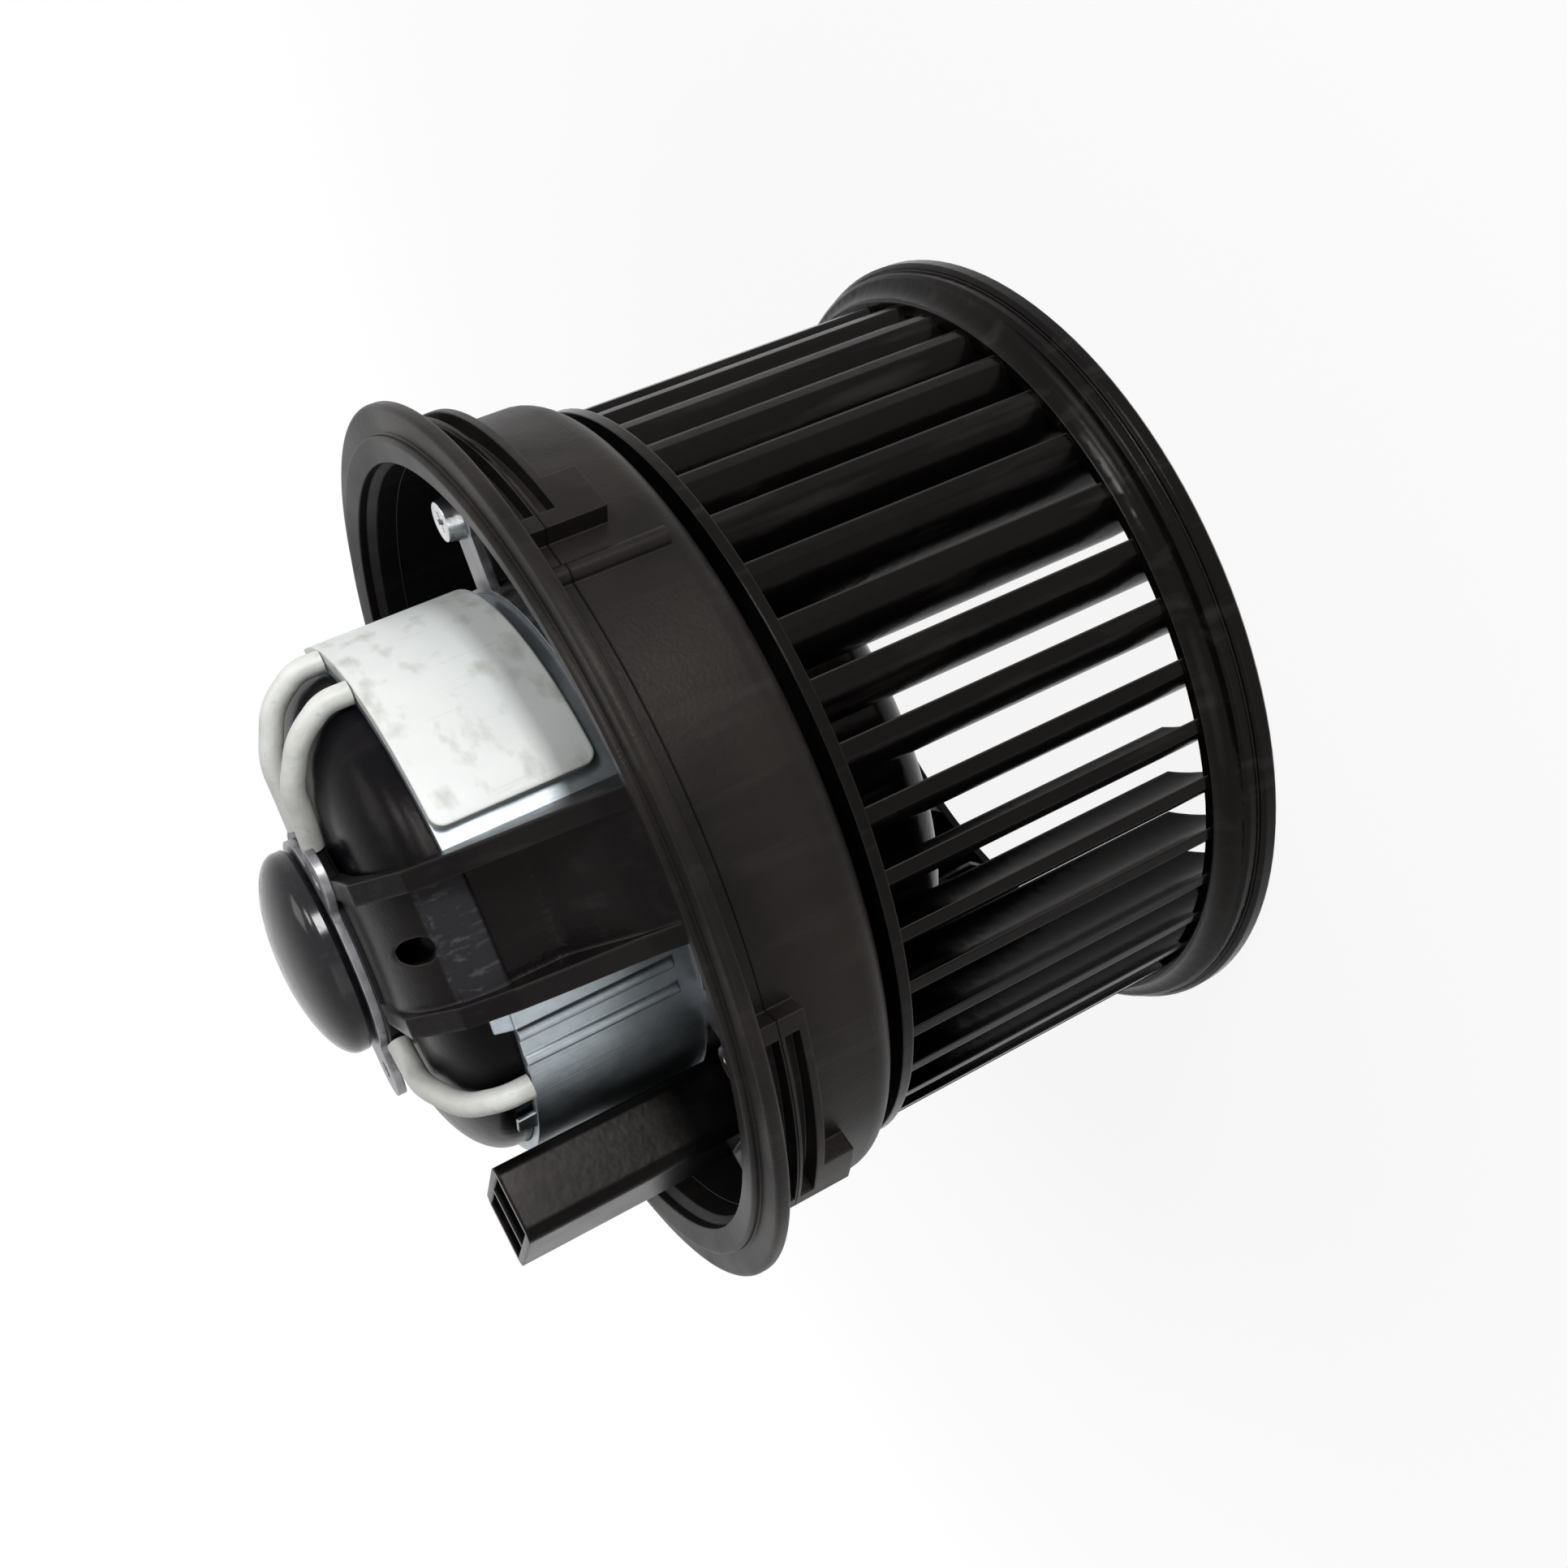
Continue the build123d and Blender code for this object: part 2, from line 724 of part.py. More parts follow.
def lead_over_bell(foot_angle, end_angle, bulge):
    """Route over the bell's shoulder, from an angle at the can to another at the tail ring."""
    shoulder_angle = (3 * foot_angle + end_angle) / 4
    flat_angle = (foot_angle + end_angle) / 2
    return lead(
        [
            at(lead_foot_r, foot_angle, can_tail_z + lead_gap),
            at(lead_foot_r, foot_angle, can_tail_z + lead_foot_len),
            at(lead_shoulder_r + bulge, shoulder_angle, can_tail_z + lead_shoulder_rise),
            at(lead_flat_r + bulge, flat_angle, lead_top_z + lead_gap),
            at(lead_end_r + lead_tuck, end_angle, lead_top_z),
            at(lead_end_r, end_angle, lead_top_z),
        ]
    )


for name, (foot_angle, end_angle, bulge) in lead_runs.items():
    save(lead_over_bell(foot_angle, end_angle, bulge), name)

# Fan wheel: one moulding, in three solids. First the hub dish, which wraps round the can
with BuildPart() as wheel_hub:
    with BuildSketch(Plane.XZ):
        dome_z = hub_top_z + hub_step
        dome_centre = (hub_out_r - hub_shoulder, dome_z + hub_shoulder_h)
        ring_z = hub_face_z - hub_disc_t
        inner_top_z = hub_top_z + hub_wall
        with BuildLine():
            face = EllipticalCenterArc(
                dome_centre, hub_shoulder, hub_shoulder_h, start_angle=-90, arc_size=90
            )
            back = EllipticalCenterArc(
                dome_centre, hub_shoulder - hub_wall, hub_shoulder_h - hub_wall, start_angle=-90, arc_size=90
            )
            Polyline(
                face @ 1,
                (hub_out_r, ring_z - hub_flare),
                (hub_out_r + hub_flare, ring_z),
                (hub_ring_r, ring_z),
                (hub_ring_r, hub_face_z),
                (hub_in_r, hub_face_z),
                back @ 1,
            )
            Polyline(
                back @ 0,
                (hub_step_r - hub_wall, dome_z + hub_wall),
                (hub_step_r - hub_wall, inner_top_z),
                (hub_boss_r, inner_top_z),
                (hub_boss_r, inner_top_z + hub_boss_rise),
                (shaft_r + fit, inner_top_z + hub_boss_rise),
                (shaft_r + fit, hub_top_z - hub_boss_len),
                (hub_boss_r - hub_boss_slope, hub_top_z - hub_boss_len),
                (hub_boss_r, hub_top_z),
                (hub_step_r, hub_top_z),
                (hub_step_r, dome_z),
                face @ 0,
            )
        make_face()
    revolve(axis=Axis.Z)
save(wheel_hub, "wheel_hub")

# Intake rim: a band round the blade tips that flares to a stepped, rounded lip
rim_band_r = blade_r_out + rim_band_t
rim_band_in_r = blade_r_out - rim_band_sink
flare_end_z = rim_band_h - rim_flare_h
with BuildPart() as wheel_rim:
    with BuildSketch(Plane.XZ):
        with BuildLine():
            flare = TangentArc(
                (rim_band_r, rim_band_h - rim_edge), (rim_step_r - rim_edge, flare_end_z), tangent=(0, -1)
            )
            Polyline(
                flare @ 1,
                (rim_step_r, flare_end_z - rim_edge),
                (rim_step_r, rim_lip_t),
                (rim_r - rim_edge, rim_lip_t),
                (rim_r, rim_lip_t - rim_edge),
                (rim_r, rim_edge),
                (rim_r - rim_edge, 0),
                (rim_inner_r + rim_mouth_r, 0),
                (rim_inner_r, rim_mouth_h),
                (rim_inner_r, rim_lip_t),
                (rim_band_in_r, rim_lip_t),
                (rim_band_in_r, rim_band_h),
                (rim_band_r, rim_band_h),
                flare @ 0,
            )
        make_face()
    revolve(axis=Axis.Z)
save(wheel_rim, "wheel_rim")

# Blades: one curved strip repeated round the wheel, from the rim to the hub ring. Each leans over
# towards its tip, so its outer edge is twice as wide as the blade is thick
with BuildPart() as wheel_blades:
    root = Vector(*at(blade_r_in, 0))
    tip = Vector(*at(blade_r_out + joint_sink, blade_sweep))
    half_t = (tip - root).normalized().rotate(Axis.Z, 90) * (blade_t / 2)
    with BuildSketch(mode=Mode.PRIVATE) as blade:
        with BuildLine():
            front = SagittaArc(root + half_t, tip + half_t, -blade_bow)
            Line(front @ 1, tip - half_t)
            back = SagittaArc(root - half_t, tip - half_t, -blade_bow)
            Line(back @ 0, root + half_t)
        make_face()
        Circle(blade_r_out, mode=Mode.INTERSECT)
    with BuildSketch(Plane.XY.offset(rim_lip_t - joint_sink)):
        with PolarLocations(0, blade_count):
            add(blade.sketch)
    extrude(amount=ring_z - rim_lip_t + joint_sink)
    with BuildSketch(Plane.XZ):
        with BuildLine():
            slope = blade_chamfer / (rim_inner_r - blade_r_in)
            clear_r = blade_r_in - blade_t
            Polyline(
                (clear_r, 0),
                (rim_inner_r, 0),
                (rim_inner_r, rim_lip_t),
                (clear_r, rim_lip_t + slope * (rim_inner_r - clear_r)),
                close=True,
            )
        make_face()
    revolve(axis=Axis.Z, mode=Mode.SUBTRACT)
    add(wheel_rim.part, mode=Mode.SUBTRACT)
save(wheel_blades, "wheel_blades")

# Motor shaft
shaft_tail_z = rear_bearing_z + bearing_len
with BuildPart() as motor_shaft:
    with BuildSketch(Plane.XY.offset(shaft_front_z)):
        Circle(shaft_r)
    extrude(amount=shaft_tail_z - shaft_front_z)
    chamfer(motor_shaft.edges().filter_by(GeomType.CIRCLE), shaft_chamfer)
save(motor_shaft, "motor_shaft")

# Push-on clip that holds the wheel on the shaft
with BuildPart() as hub_clip:
    with BuildSketch(Plane.XY.offset(hub_top_z - hub_boss_len)):
        Circle(clip_r)
        Circle(shaft_r, mode=Mode.SUBTRACT)
        with PolarLocations(shaft_r, clip_notch_count):
            Rectangle(2 * clip_notch_len, clip_notch_w, mode=Mode.SUBTRACT)
    extrude(amount=-clip_t)
save(hub_clip, "hub_clip")


def ring_part(outer_r, inner_r, z, height):
    with BuildPart() as ring:
        with BuildSketch(Plane.XY.offset(z)):
            Circle(outer_r)
            Circle(inner_r, mode=Mode.SUBTRACT)
        extrude(amount=height)
    return ring


# Sintered bearings, their retainers and the thrust washers
front_bearing = ring_part(bearing_r, shaft_r + fit, front_bearing_z, bearing_len)
save(front_bearing, "front_bearing")
rear_bearing = ring_part(bearing_r, shaft_r + fit, rear_bearing_z, bearing_len)
save(rear_bearing, "rear_bearing")
retainer_z = can_front_z + can_wall
front_retainer = ring_part(front_retainer_r, bearing_r + fit, retainer_z, retainer_t)
save(front_retainer, "front_bearing_retainer")
rear_retainer = ring_part(bell_boss_r, shaft_r + bell_bore_gap, rear_bearing_z - retainer_t, retainer_t)
save(rear_retainer, "rear_bearing_retainer")
front_washer = ring_part(washer_r, shaft_r, front_bearing_z + bearing_len + fit, washer_t)
save(front_washer, "front_thrust_washer")

# Field magnets: two curved ferrite segments on the can wall
with BuildPart() as magnets:
    magnet_r = can_r - can_wall
    for middle in (0, 180):
        with BuildSketch(radial_plane(middle + 90 - magnet_span / 2)):
            with Locations((magnet_r - magnet_t / 2, core_z + core_len / 2)):
                Rectangle(magnet_t, magnet_len)
        revolve(axis=Axis.Z, revolution_arc=magnet_span)
save(magnets, "magnets")

# Armature core: laminated stack with twelve toothed poles
core_r = magnet_r - magnet_t - air_gap
with BuildPart() as armature_core:
    with BuildSketch(Plane.XY.offset(core_z)):
        Circle(core_r)
        Circle(core_r - tooth_tip, mode=Mode.SUBTRACT)
        with PolarLocations((core_hub_r + core_r - tooth_tip) / 2, slot_count):
            Rectangle(core_r - tooth_tip - core_hub_r + 2 * joint_sink, tooth_w)
        Circle(core_hub_r)
        with PolarLocations(core_r - tooth_tip / 2, slot_count, start_angle=180 / slot_count):
            Rectangle(2 * tooth_tip, slot_mouth, mode=Mode.SUBTRACT)
        Circle(shaft_r, mode=Mode.SUBTRACT)
    extrude(amount=core_len)
save(armature_core, "armature_core")

# Windings: coil heads at both ends joined by the bundles in the slots
with BuildPart() as armature_windings:
    coil_in_r = core_hub_r + coil_gap
    coil_out_r = core_r - tooth_tip - coil_gap
    bundle_in_r = coil_in_r + coil_gap
    bundle_out_r = coil_out_r - coil_gap
    half_slot = radians(180 / slot_count)
    for z in (core_z - coil_head, core_z + core_len):
        with BuildSketch(Plane.XY.offset(z)):
            Circle(coil_out_r)
            Circle(coil_in_r, mode=Mode.SUBTRACT)
        extrude(amount=coil_head)
    head_edges = armature_windings.edges().filter_by(GeomType.CIRCLE).group_by(Axis.Z)
    fillet(head_edges[0] + head_edges[-1], coil_round)
    with BuildSketch(Plane.XY.offset(core_z)):
        with PolarLocations(0, slot_count, start_angle=180 / slot_count):
            with BuildLine(mode=Mode.PRIVATE) as wedge:
                half_in = bundle_in_r * sin(half_slot) - tooth_w / 2 - coil_gap
                half_out = bundle_out_r * sin(half_slot) - tooth_w / 2 - coil_gap
                Polyline(
                    (bundle_in_r, -half_in),
                    (bundle_out_r, -half_out),
                    (bundle_out_r, half_out),
                    (bundle_in_r, half_in),
                    close=True,
                )
            add(make_face(wedge.line.edges(), mode=Mode.PRIVATE))
    extrude(amount=core_len)
save(armature_windings, "armature_windings")

# Commutator: copper bars on a moulded sleeve
commutator_z = card_z - commutator_len + commutator_overlap
with BuildPart() as commutator:
    with BuildSketch(Plane.XY.offset(commutator_z)):
        Circle(commutator_r)
        with PolarLocations(commutator_r, commutator_bars):
            Rectangle(2 * bar_slot_depth, bar_slot_w, mode=Mode.SUBTRACT)
        Circle(shaft_r, mode=Mode.SUBTRACT)
    extrude(amount=commutator_len)
save(commutator, "commutator")

# Brush card with its two holders, brushes, springs and chokes
with BuildPart() as brush_card:
    with BuildSketch(Plane.XY.offset(card_z)):
        Circle(bell_r - card_edge_gap)
        Circle(commutator_r + card_bore_gap, mode=Mode.SUBTRACT)
        with PolarLocations(card_slot_circle_r, 2, start_angle=90):
            SlotOverall(card_slot_len, card_slot_w, rotation=90, mode=Mode.SUBTRACT)
    extrude(amount=card_t)
    holder_r = commutator_r + holder_gap
    holder_len = brush_len + holder_extra
    holder_bore = brush_w + 2 * brush_gap
    with BuildSketch(Plane.XY.offset(card_z)):
        for angle in (0, 180):
            with Locations(turned(holder_r + holder_len / 2, angle)):
                Rectangle(holder_len, holder_bore + 2 * holder_wall)
                Rectangle(holder_len, holder_bore, mode=Mode.SUBTRACT)
    extrude(amount=-(brush_h + 2 * brush_gap))
save(brush_card, "brush_card")

with BuildPart() as brushes:
    with BuildSketch(Plane.XY.offset(card_z - brush_h - brush_gap)):
        for angle in (0, 180):
            with Locations(turned(commutator_r + fit + brush_len / 2, angle)):
                Rectangle(brush_len, brush_w)
        Circle(commutator_r + fit, mode=Mode.SUBTRACT)
    extrude(amount=brush_h)
save(brushes, "brushes")

with BuildPart() as brush_springs:
    for angle in (0, 180):
        with BuildSketch(radial_plane(angle + 90).offset(-(commutator_r + fit + brush_len))):
            with Locations((0, card_z - brush_h / 2 - brush_gap)):
                Circle(spring_r)
                Circle(spring_r - spring_wire, mode=Mode.SUBTRACT)
        extrude(amount=-spring_len)
save(brush_springs, "brush_springs")

with BuildPart() as chokes:
    for side in (-1, 1):
        with BuildSketch(Plane.YZ.offset(-choke_len / 2)):
            with Locations((side * choke_offset, card_z + card_t + choke_r)):
                Circle(choke_r)
        extrude(amount=choke_len)
save(chokes, "chokes")
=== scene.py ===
from math import pi, radians

import bmesh
import bpy
from mathutils import Matrix, Vector


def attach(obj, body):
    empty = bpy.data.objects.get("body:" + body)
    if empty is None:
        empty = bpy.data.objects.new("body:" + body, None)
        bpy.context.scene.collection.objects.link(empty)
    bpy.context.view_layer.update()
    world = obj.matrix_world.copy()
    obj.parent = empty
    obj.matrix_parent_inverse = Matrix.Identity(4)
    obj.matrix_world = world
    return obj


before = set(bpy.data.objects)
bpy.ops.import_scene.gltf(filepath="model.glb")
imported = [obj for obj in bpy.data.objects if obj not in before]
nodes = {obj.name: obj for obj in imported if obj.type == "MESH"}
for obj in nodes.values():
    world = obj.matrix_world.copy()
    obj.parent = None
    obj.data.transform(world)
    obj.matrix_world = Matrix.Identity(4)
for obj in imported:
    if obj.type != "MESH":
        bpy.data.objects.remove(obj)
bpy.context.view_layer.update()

# Camera
# It stands beside the motor's tail, a little above the shaft, and is rolled so that the shaft
# climbs from the lower left of the picture to the upper right.
camera_place = (0.3224, 0.0438, 0.1746)
camera_right = Vector((0.3742, -0.3624, -0.8536)).normalized()
camera_roll = Vector((0.0, 0.9205, -0.3908))
camera_back = camera_right.cross(camera_roll).normalized()
camera_up = camera_back.cross(camera_right)
camera_turn = Matrix((camera_right, camera_up, camera_back)).transposed().to_4x4()
camera_data = bpy.data.cameras.new("camera")
camera_data.lens = 42.86
camera_data.sensor_width = 36.0
camera_data.clip_start = 0.01
camera = bpy.data.objects.new("camera", camera_data)
bpy.context.scene.collection.objects.link(camera)
camera.matrix_world = Matrix.Translation(camera_place) @ camera_turn
bpy.context.scene.camera = camera
bpy.context.scene.view_settings.view_transform = "Standard"

# World
# White all round, as in a product picture. The eye, mirrors and glass see plain white, while the
# light that it sheds on the part stays lower, so that pale pieces don't burn out.
studio_light = 0.2
studio_white = 1.0
studio = bpy.data.worlds.new("studio")
bpy.context.scene.world = studio
studio.use_nodes = True
studio_tree = studio.node_tree
studio_tree.nodes.clear()
studio_out = studio_tree.nodes.new("ShaderNodeOutputWorld")
studio_sky = studio_tree.nodes.new("ShaderNodeBackground")
studio_sky.inputs["Color"].default_value = (1, 1, 1, 1)
studio_level = studio_tree.nodes.new("ShaderNodeMapRange")
studio_level.inputs["To Min"].default_value = studio_light
studio_level.inputs["To Max"].default_value = studio_white


def seen_directly(tree):
    """1 for rays of the eye, of mirrors and of glass, and 0 for light that falls on the part."""
    path = tree.nodes.new("ShaderNodeLightPath")
    eye_or_mirror = tree.nodes.new("ShaderNodeMath")
    eye_or_mirror.operation = "MAXIMUM"
    tree.links.new(path.outputs["Is Camera Ray"], eye_or_mirror.inputs[0])
    tree.links.new(path.outputs["Is Glossy Ray"], eye_or_mirror.inputs[1])
    any_of_three = tree.nodes.new("ShaderNodeMath")
    any_of_three.operation = "MAXIMUM"
    tree.links.new(eye_or_mirror.outputs[0], any_of_three.inputs[0])
    tree.links.new(path.outputs["Is Transmission Ray"], any_of_three.inputs[1])
    return any_of_three.outputs[0]


studio_tree.links.new(seen_directly(studio_tree), studio_level.inputs["Value"])
studio_tree.links.new(studio_level.outputs["Result"], studio_sky.inputs["Strength"])
studio_tree.links.new(studio_sky.outputs[0], studio_out.inputs["Surface"])

# Lamps
# Two soft boxes on the left behind the camera: a low one that the drum's walls mirror, and a higher
# one. A third lights the part from above, and a weak one on the other side opens the shadows.
lamp_aim = Vector((0, 0, 0.07))
for lamp_name, lamp_place, lamp_size, lamp_power in (
    ("low_key", (0.72, 0.50, 0.06), (0.30, 0.10), 3.4),
    ("high_key", (0.58, 0.60, 0.46), (0.22, 0.22), 2.3),
    ("top", (0.10, 0.46, 0.80), (0.36, 0.36), 1.4),
    ("fill", (0.80, -0.45, 0.30), (0.60, 0.60), 0.9),
):
    lamp_data = bpy.data.lights.new(lamp_name, "AREA")
    lamp_data.shape = "RECTANGLE"
    lamp_data.size, lamp_data.size_y = lamp_size
    lamp_data.energy = lamp_power
    lamp = bpy.data.objects.new(lamp_name, lamp_data)
    bpy.context.scene.collection.objects.link(lamp)
    lamp.location = lamp_place
    lamp.rotation_euler = (Vector(lamp_place) - lamp_aim).to_track_quat("Z", "Y").to_euler()

# Floor
# A white sheet under the part. Near the part it keeps a faint shadow, and it fades into the white
# world further out, so that no horizon shows.
floor_half = 4.0
sheet_white = (0.9, 0.9, 0.9, 1)
fade_start, fade_end = 0.12, 0.45
glow_near, glow_far = 0.9, 1.0
floor_mesh = bpy.data.meshes.new("floor")
floor_shape = bmesh.new()
bmesh.ops.create_grid(floor_shape, x_segments=1, y_segments=1, size=floor_half)
floor_shape.to_mesh(floor_mesh)
floor_shape.free()
floor = bpy.data.objects.new("floor", floor_mesh)
bpy.context.scene.collection.objects.link(floor)
sheet = bpy.data.materials.new("white_sheet")
sheet.use_nodes = True
sheet_tree = sheet.node_tree
sheet_tree.nodes.clear()
sheet_out = sheet_tree.nodes.new("ShaderNodeOutputMaterial")
sheet_paper = sheet_tree.nodes.new("ShaderNodeBsdfDiffuse")
sheet_paper.inputs["Color"].default_value = sheet_white
sheet_glow = sheet_tree.nodes.new("ShaderNodeEmission")
sheet_where = sheet_tree.nodes.new("ShaderNodeTexCoord")
sheet_reach = sheet_tree.nodes.new("ShaderNodeVectorMath")
sheet_reach.operation = "LENGTH"
sheet_fade = sheet_tree.nodes.new("ShaderNodeMapRange")
sheet_fade.inputs["From Min"].default_value = fade_start
sheet_fade.inputs["From Max"].default_value = fade_end
sheet_fade.inputs["To Min"].default_value = glow_near
sheet_fade.inputs["To Max"].default_value = glow_far
sheet_share = sheet_tree.nodes.new("ShaderNodeMath")
sheet_share.operation = "MULTIPLY"
sheet_mix = sheet_tree.nodes.new("ShaderNodeMixShader")
sheet_tree.links.new(sheet_where.outputs["Object"], sheet_reach.inputs[0])
sheet_tree.links.new(sheet_reach.outputs["Value"], sheet_fade.inputs["Value"])
sheet_tree.links.new(sheet_fade.outputs["Result"], sheet_share.inputs[0])
sheet_tree.links.new(seen_directly(sheet_tree), sheet_share.inputs[1])
sheet_tree.links.new(sheet_share.outputs[0], sheet_mix.inputs["Fac"])
sheet_tree.links.new(sheet_paper.outputs[0], sheet_mix.inputs[1])
sheet_tree.links.new(sheet_glow.outputs[0], sheet_mix.inputs[2])
sheet_tree.links.new(sheet_mix.outputs[0], sheet_out.inputs["Surface"])
floor_mesh.materials.append(sheet)


# Housing
# One injection moulding in glass-filled black plastic. Its tool was spark-eroded, so the walls have
# a fine grain with a brownish sheen. Lighter dusty patches are in part a painted sheen, and a
# painted glint runs along the edges.
def parts_of(finish):
    """A material's tree, its shader and the place on the piece in metres."""
    tree = finish.node_tree
    where = tree.nodes.new("ShaderNodeTexCoord").outputs["Object"]
    return tree, tree.nodes["Principled BSDF"], where


def new_finish(name):
    """A new material, with its tree, its shader and the place on the piece in metres."""
    finish = bpy.data.materials.new(name)
    finish.use_nodes = True
    return (finish, *parts_of(finish))


def clouds(tree, where, size, detail, stretch=(1, 1, 1)):
    """Cloudy pattern with patches of about that size, squeezed along each axis by stretch."""
    squeeze = tree.nodes.new("ShaderNodeMapping")
    squeeze.inputs["Scale"].default_value = stretch
    tree.links.new(where, squeeze.inputs["Vector"])
    cloud = tree.nodes.new("ShaderNodeTexNoise")
    cloud.inputs["Scale"].default_value = 1 / size
    cloud.inputs["Detail"].default_value = detail
    tree.links.new(squeeze.outputs["Vector"], cloud.inputs["Vector"])
    return cloud.outputs[0]


def spread(tree, value, low=0.0, high=1.0, start=0.3, end=0.7):
    """A value between start and end, brought to lie between low and high."""
    span = tree.nodes.new("ShaderNodeMapRange")
    span.inputs["From Min"].default_value = start
    span.inputs["From Max"].default_value = end
    span.inputs["To Min"].default_value = low
    span.inputs["To Max"].default_value = high
    tree.links.new(value, span.inputs["Value"])
    return span.outputs["Result"]


def scaled(tree, mask, low, high):
    """A mask between 0 and 1, brought to lie between low and high."""
    return spread(tree, mask, low, high, start=0.0, end=1.0)


def two_tone(tree, value, first, second):
    """Colour that goes from first to second as the value goes from 0 to 1."""
    ramp = tree.nodes.new("ShaderNodeValToRGB")
    ramp.color_ramp.elements[0].color = (*first, 1)
    ramp.color_ramp.elements[1].color = (*second, 1)
    tree.links.new(value, ramp.inputs["Fac"])
    return ramp.outputs["Color"]


def laid_over(tree, share, below, above):
    """One colour laid over another, as thickly as the share says."""
    cover = tree.nodes.new("ShaderNodeMix")
    cover.data_type = "RGBA"
    # Its sockets for numbers have the same names, so the ones for colours go by their places.
    below_socket, above_socket, result_socket = cover.inputs[6], cover.inputs[7], cover.outputs[2]
    tree.links.new(share, cover.inputs["Factor"])
    tree.links.new(below, below_socket)
    if isinstance(above, tuple):
        above_socket.default_value = (*above, 1)
    else:
        tree.links.new(above, above_socket)
    return result_socket


def relief(tree, height, depth, under=None):
    """Surface direction with the height pressed in that many metres deep, over what is under it."""
    bump = tree.nodes.new("ShaderNodeBump")
    bump.inputs["Strength"].default_value = 1.0
    bump.inputs["Distance"].default_value = depth
    tree.links.new(height, bump.inputs["Height"])
    if under is not None:
        tree.links.new(under, bump.inputs["Normal"])
    return bump.outputs["Normal"]


def rounded_edges(tree, radius):
    """Surface direction with every sharp edge rounded off, and a mask of 1 along those edges."""
    bevel = tree.nodes.new("ShaderNodeBevel")
    bevel.samples = 8
    bevel.inputs["Radius"].default_value = radius
    face = tree.nodes.new("ShaderNodeNewGeometry")
    agree = tree.nodes.new("ShaderNodeVectorMath")
    agree.operation = "DOT_PRODUCT"
    tree.links.new(bevel.outputs["Normal"], agree.inputs[0])
    tree.links.new(face.outputs["Normal"], agree.inputs[1])
    # Away from an edge both directions are the same, and across it they part.
    edges = spread(tree, agree.outputs["Value"], low=1.0, high=0.0, start=0.70, end=0.88)
    return bevel.outputs["Normal"], edges


def moulded_plastic(
    name,
    color,
    dust_and_sheen_color,
    roughness,
    specular,
    grain_size,
    grain_depth,
    rub_and_glint_color,
    edge_round=0.0005,
):
    """Black plastic: grain, patches of more and less gloss, faint rubs, lighter dusty patches that
    are in part a painted sheen, and a painted glint along every sharp edge. Its gloss is a little
    brown."""
    patch_gloss = 0.06
    rub_cover = 0.16
    edge_cover = 0.55
    finish, tree, shader, where = new_finish(name)
    rounded, edges = rounded_edges(tree, edge_round)
    patches = clouds(tree, where, size=0.022, detail=4.0)
    streaks = clouds(tree, where, size=0.004, detail=5.0, stretch=(1, 1, 0.12))
    rubs = spread(tree, streaks, start=0.56, end=0.74)
    # The lighter patches are dust, and in part a painted sheen.
    base = two_tone(tree, spread(tree, patches), color, dust_and_sheen_color)
    rubbed = laid_over(tree, scaled(tree, rubs, 0.0, rub_cover), base, rub_and_glint_color)
    # Every sharp edge, hollow ones too, gets a lighter colour here: a painted glint.
    edge_glinted = laid_over(tree, scaled(tree, edges, 0.0, edge_cover), rubbed, rub_and_glint_color)
    tree.links.new(edge_glinted, shader.inputs["Base Color"])
    gloss = spread(tree, patches, low=roughness + patch_gloss, high=roughness - patch_gloss)
    tree.links.new(gloss, shader.inputs["Roughness"])
    shader.inputs["Specular IOR Level"].default_value = specular
    shader.inputs["Specular Tint"].default_value = (1.0, 0.93, 0.89, 1)
    grain = clouds(tree, where, size=grain_size, detail=1.0)
    tree.links.new(relief(tree, grain, grain_depth, rounded), shader.inputs["Normal"])
    return finish


def multiplied(tree, first, second):
    """Product of two values."""
    product = tree.nodes.new("ShaderNodeMath")
    product.operation = "MULTIPLY"
    tree.links.new(first, product.inputs[0])
    tree.links.new(second, product.inputs[1])
    return product.outputs[0]


def band(tree, where, axis, low, high, soft):
    """1 where the place on the piece lies between low and high along the axis, and 0 beyond."""
    split = tree.nodes.new("ShaderNodeSeparateXYZ")
    tree.links.new(where, split.inputs[0])
    along = split.outputs[axis]
    rise = spread(tree, along, low=0.0, high=1.0, start=low - soft, end=low + soft)
    fall = spread(tree, along, low=1.0, high=0.0, start=high - soft, end=high + soft)
    return multiplied(tree, rise, fall)


def dress(finish, *names):
    """Give CAD nodes their finish."""
    for name in names:
        nodes[name].data.materials.clear()
        nodes[name].data.materials.append(finish)


grained_black = moulded_plastic(
    name="grained_black",
    color=(0.0056, 0.0050, 0.0049),
    dust_and_sheen_color=(0.0190, 0.0158, 0.0145),
    roughness=0.40,
    specular=0.11,
    grain_size=0.0007,
    grain_depth=0.00004,
    rub_and_glint_color=(0.065, 0.058, 0.055),
)
dress(grained_black, "housing")

# The halves of the tool met on the drum, below the flange, and left a fine seam there.
seam_low, seam_high = 0.0962, 0.0964
seam_soft = 0.0001
seam_depth = 0.0003
housing_tree, housing_shader, housing_where = parts_of(grained_black)
housing_grain = housing_shader.inputs["Normal"].links[0].from_socket
housing_seam = band(housing_tree, housing_where, "Z", seam_low, seam_high, seam_soft)
housing_relief = relief(housing_tree, housing_seam, seam_depth, housing_grain)
housing_tree.links.new(housing_relief, housing_shader.inputs["Normal"])

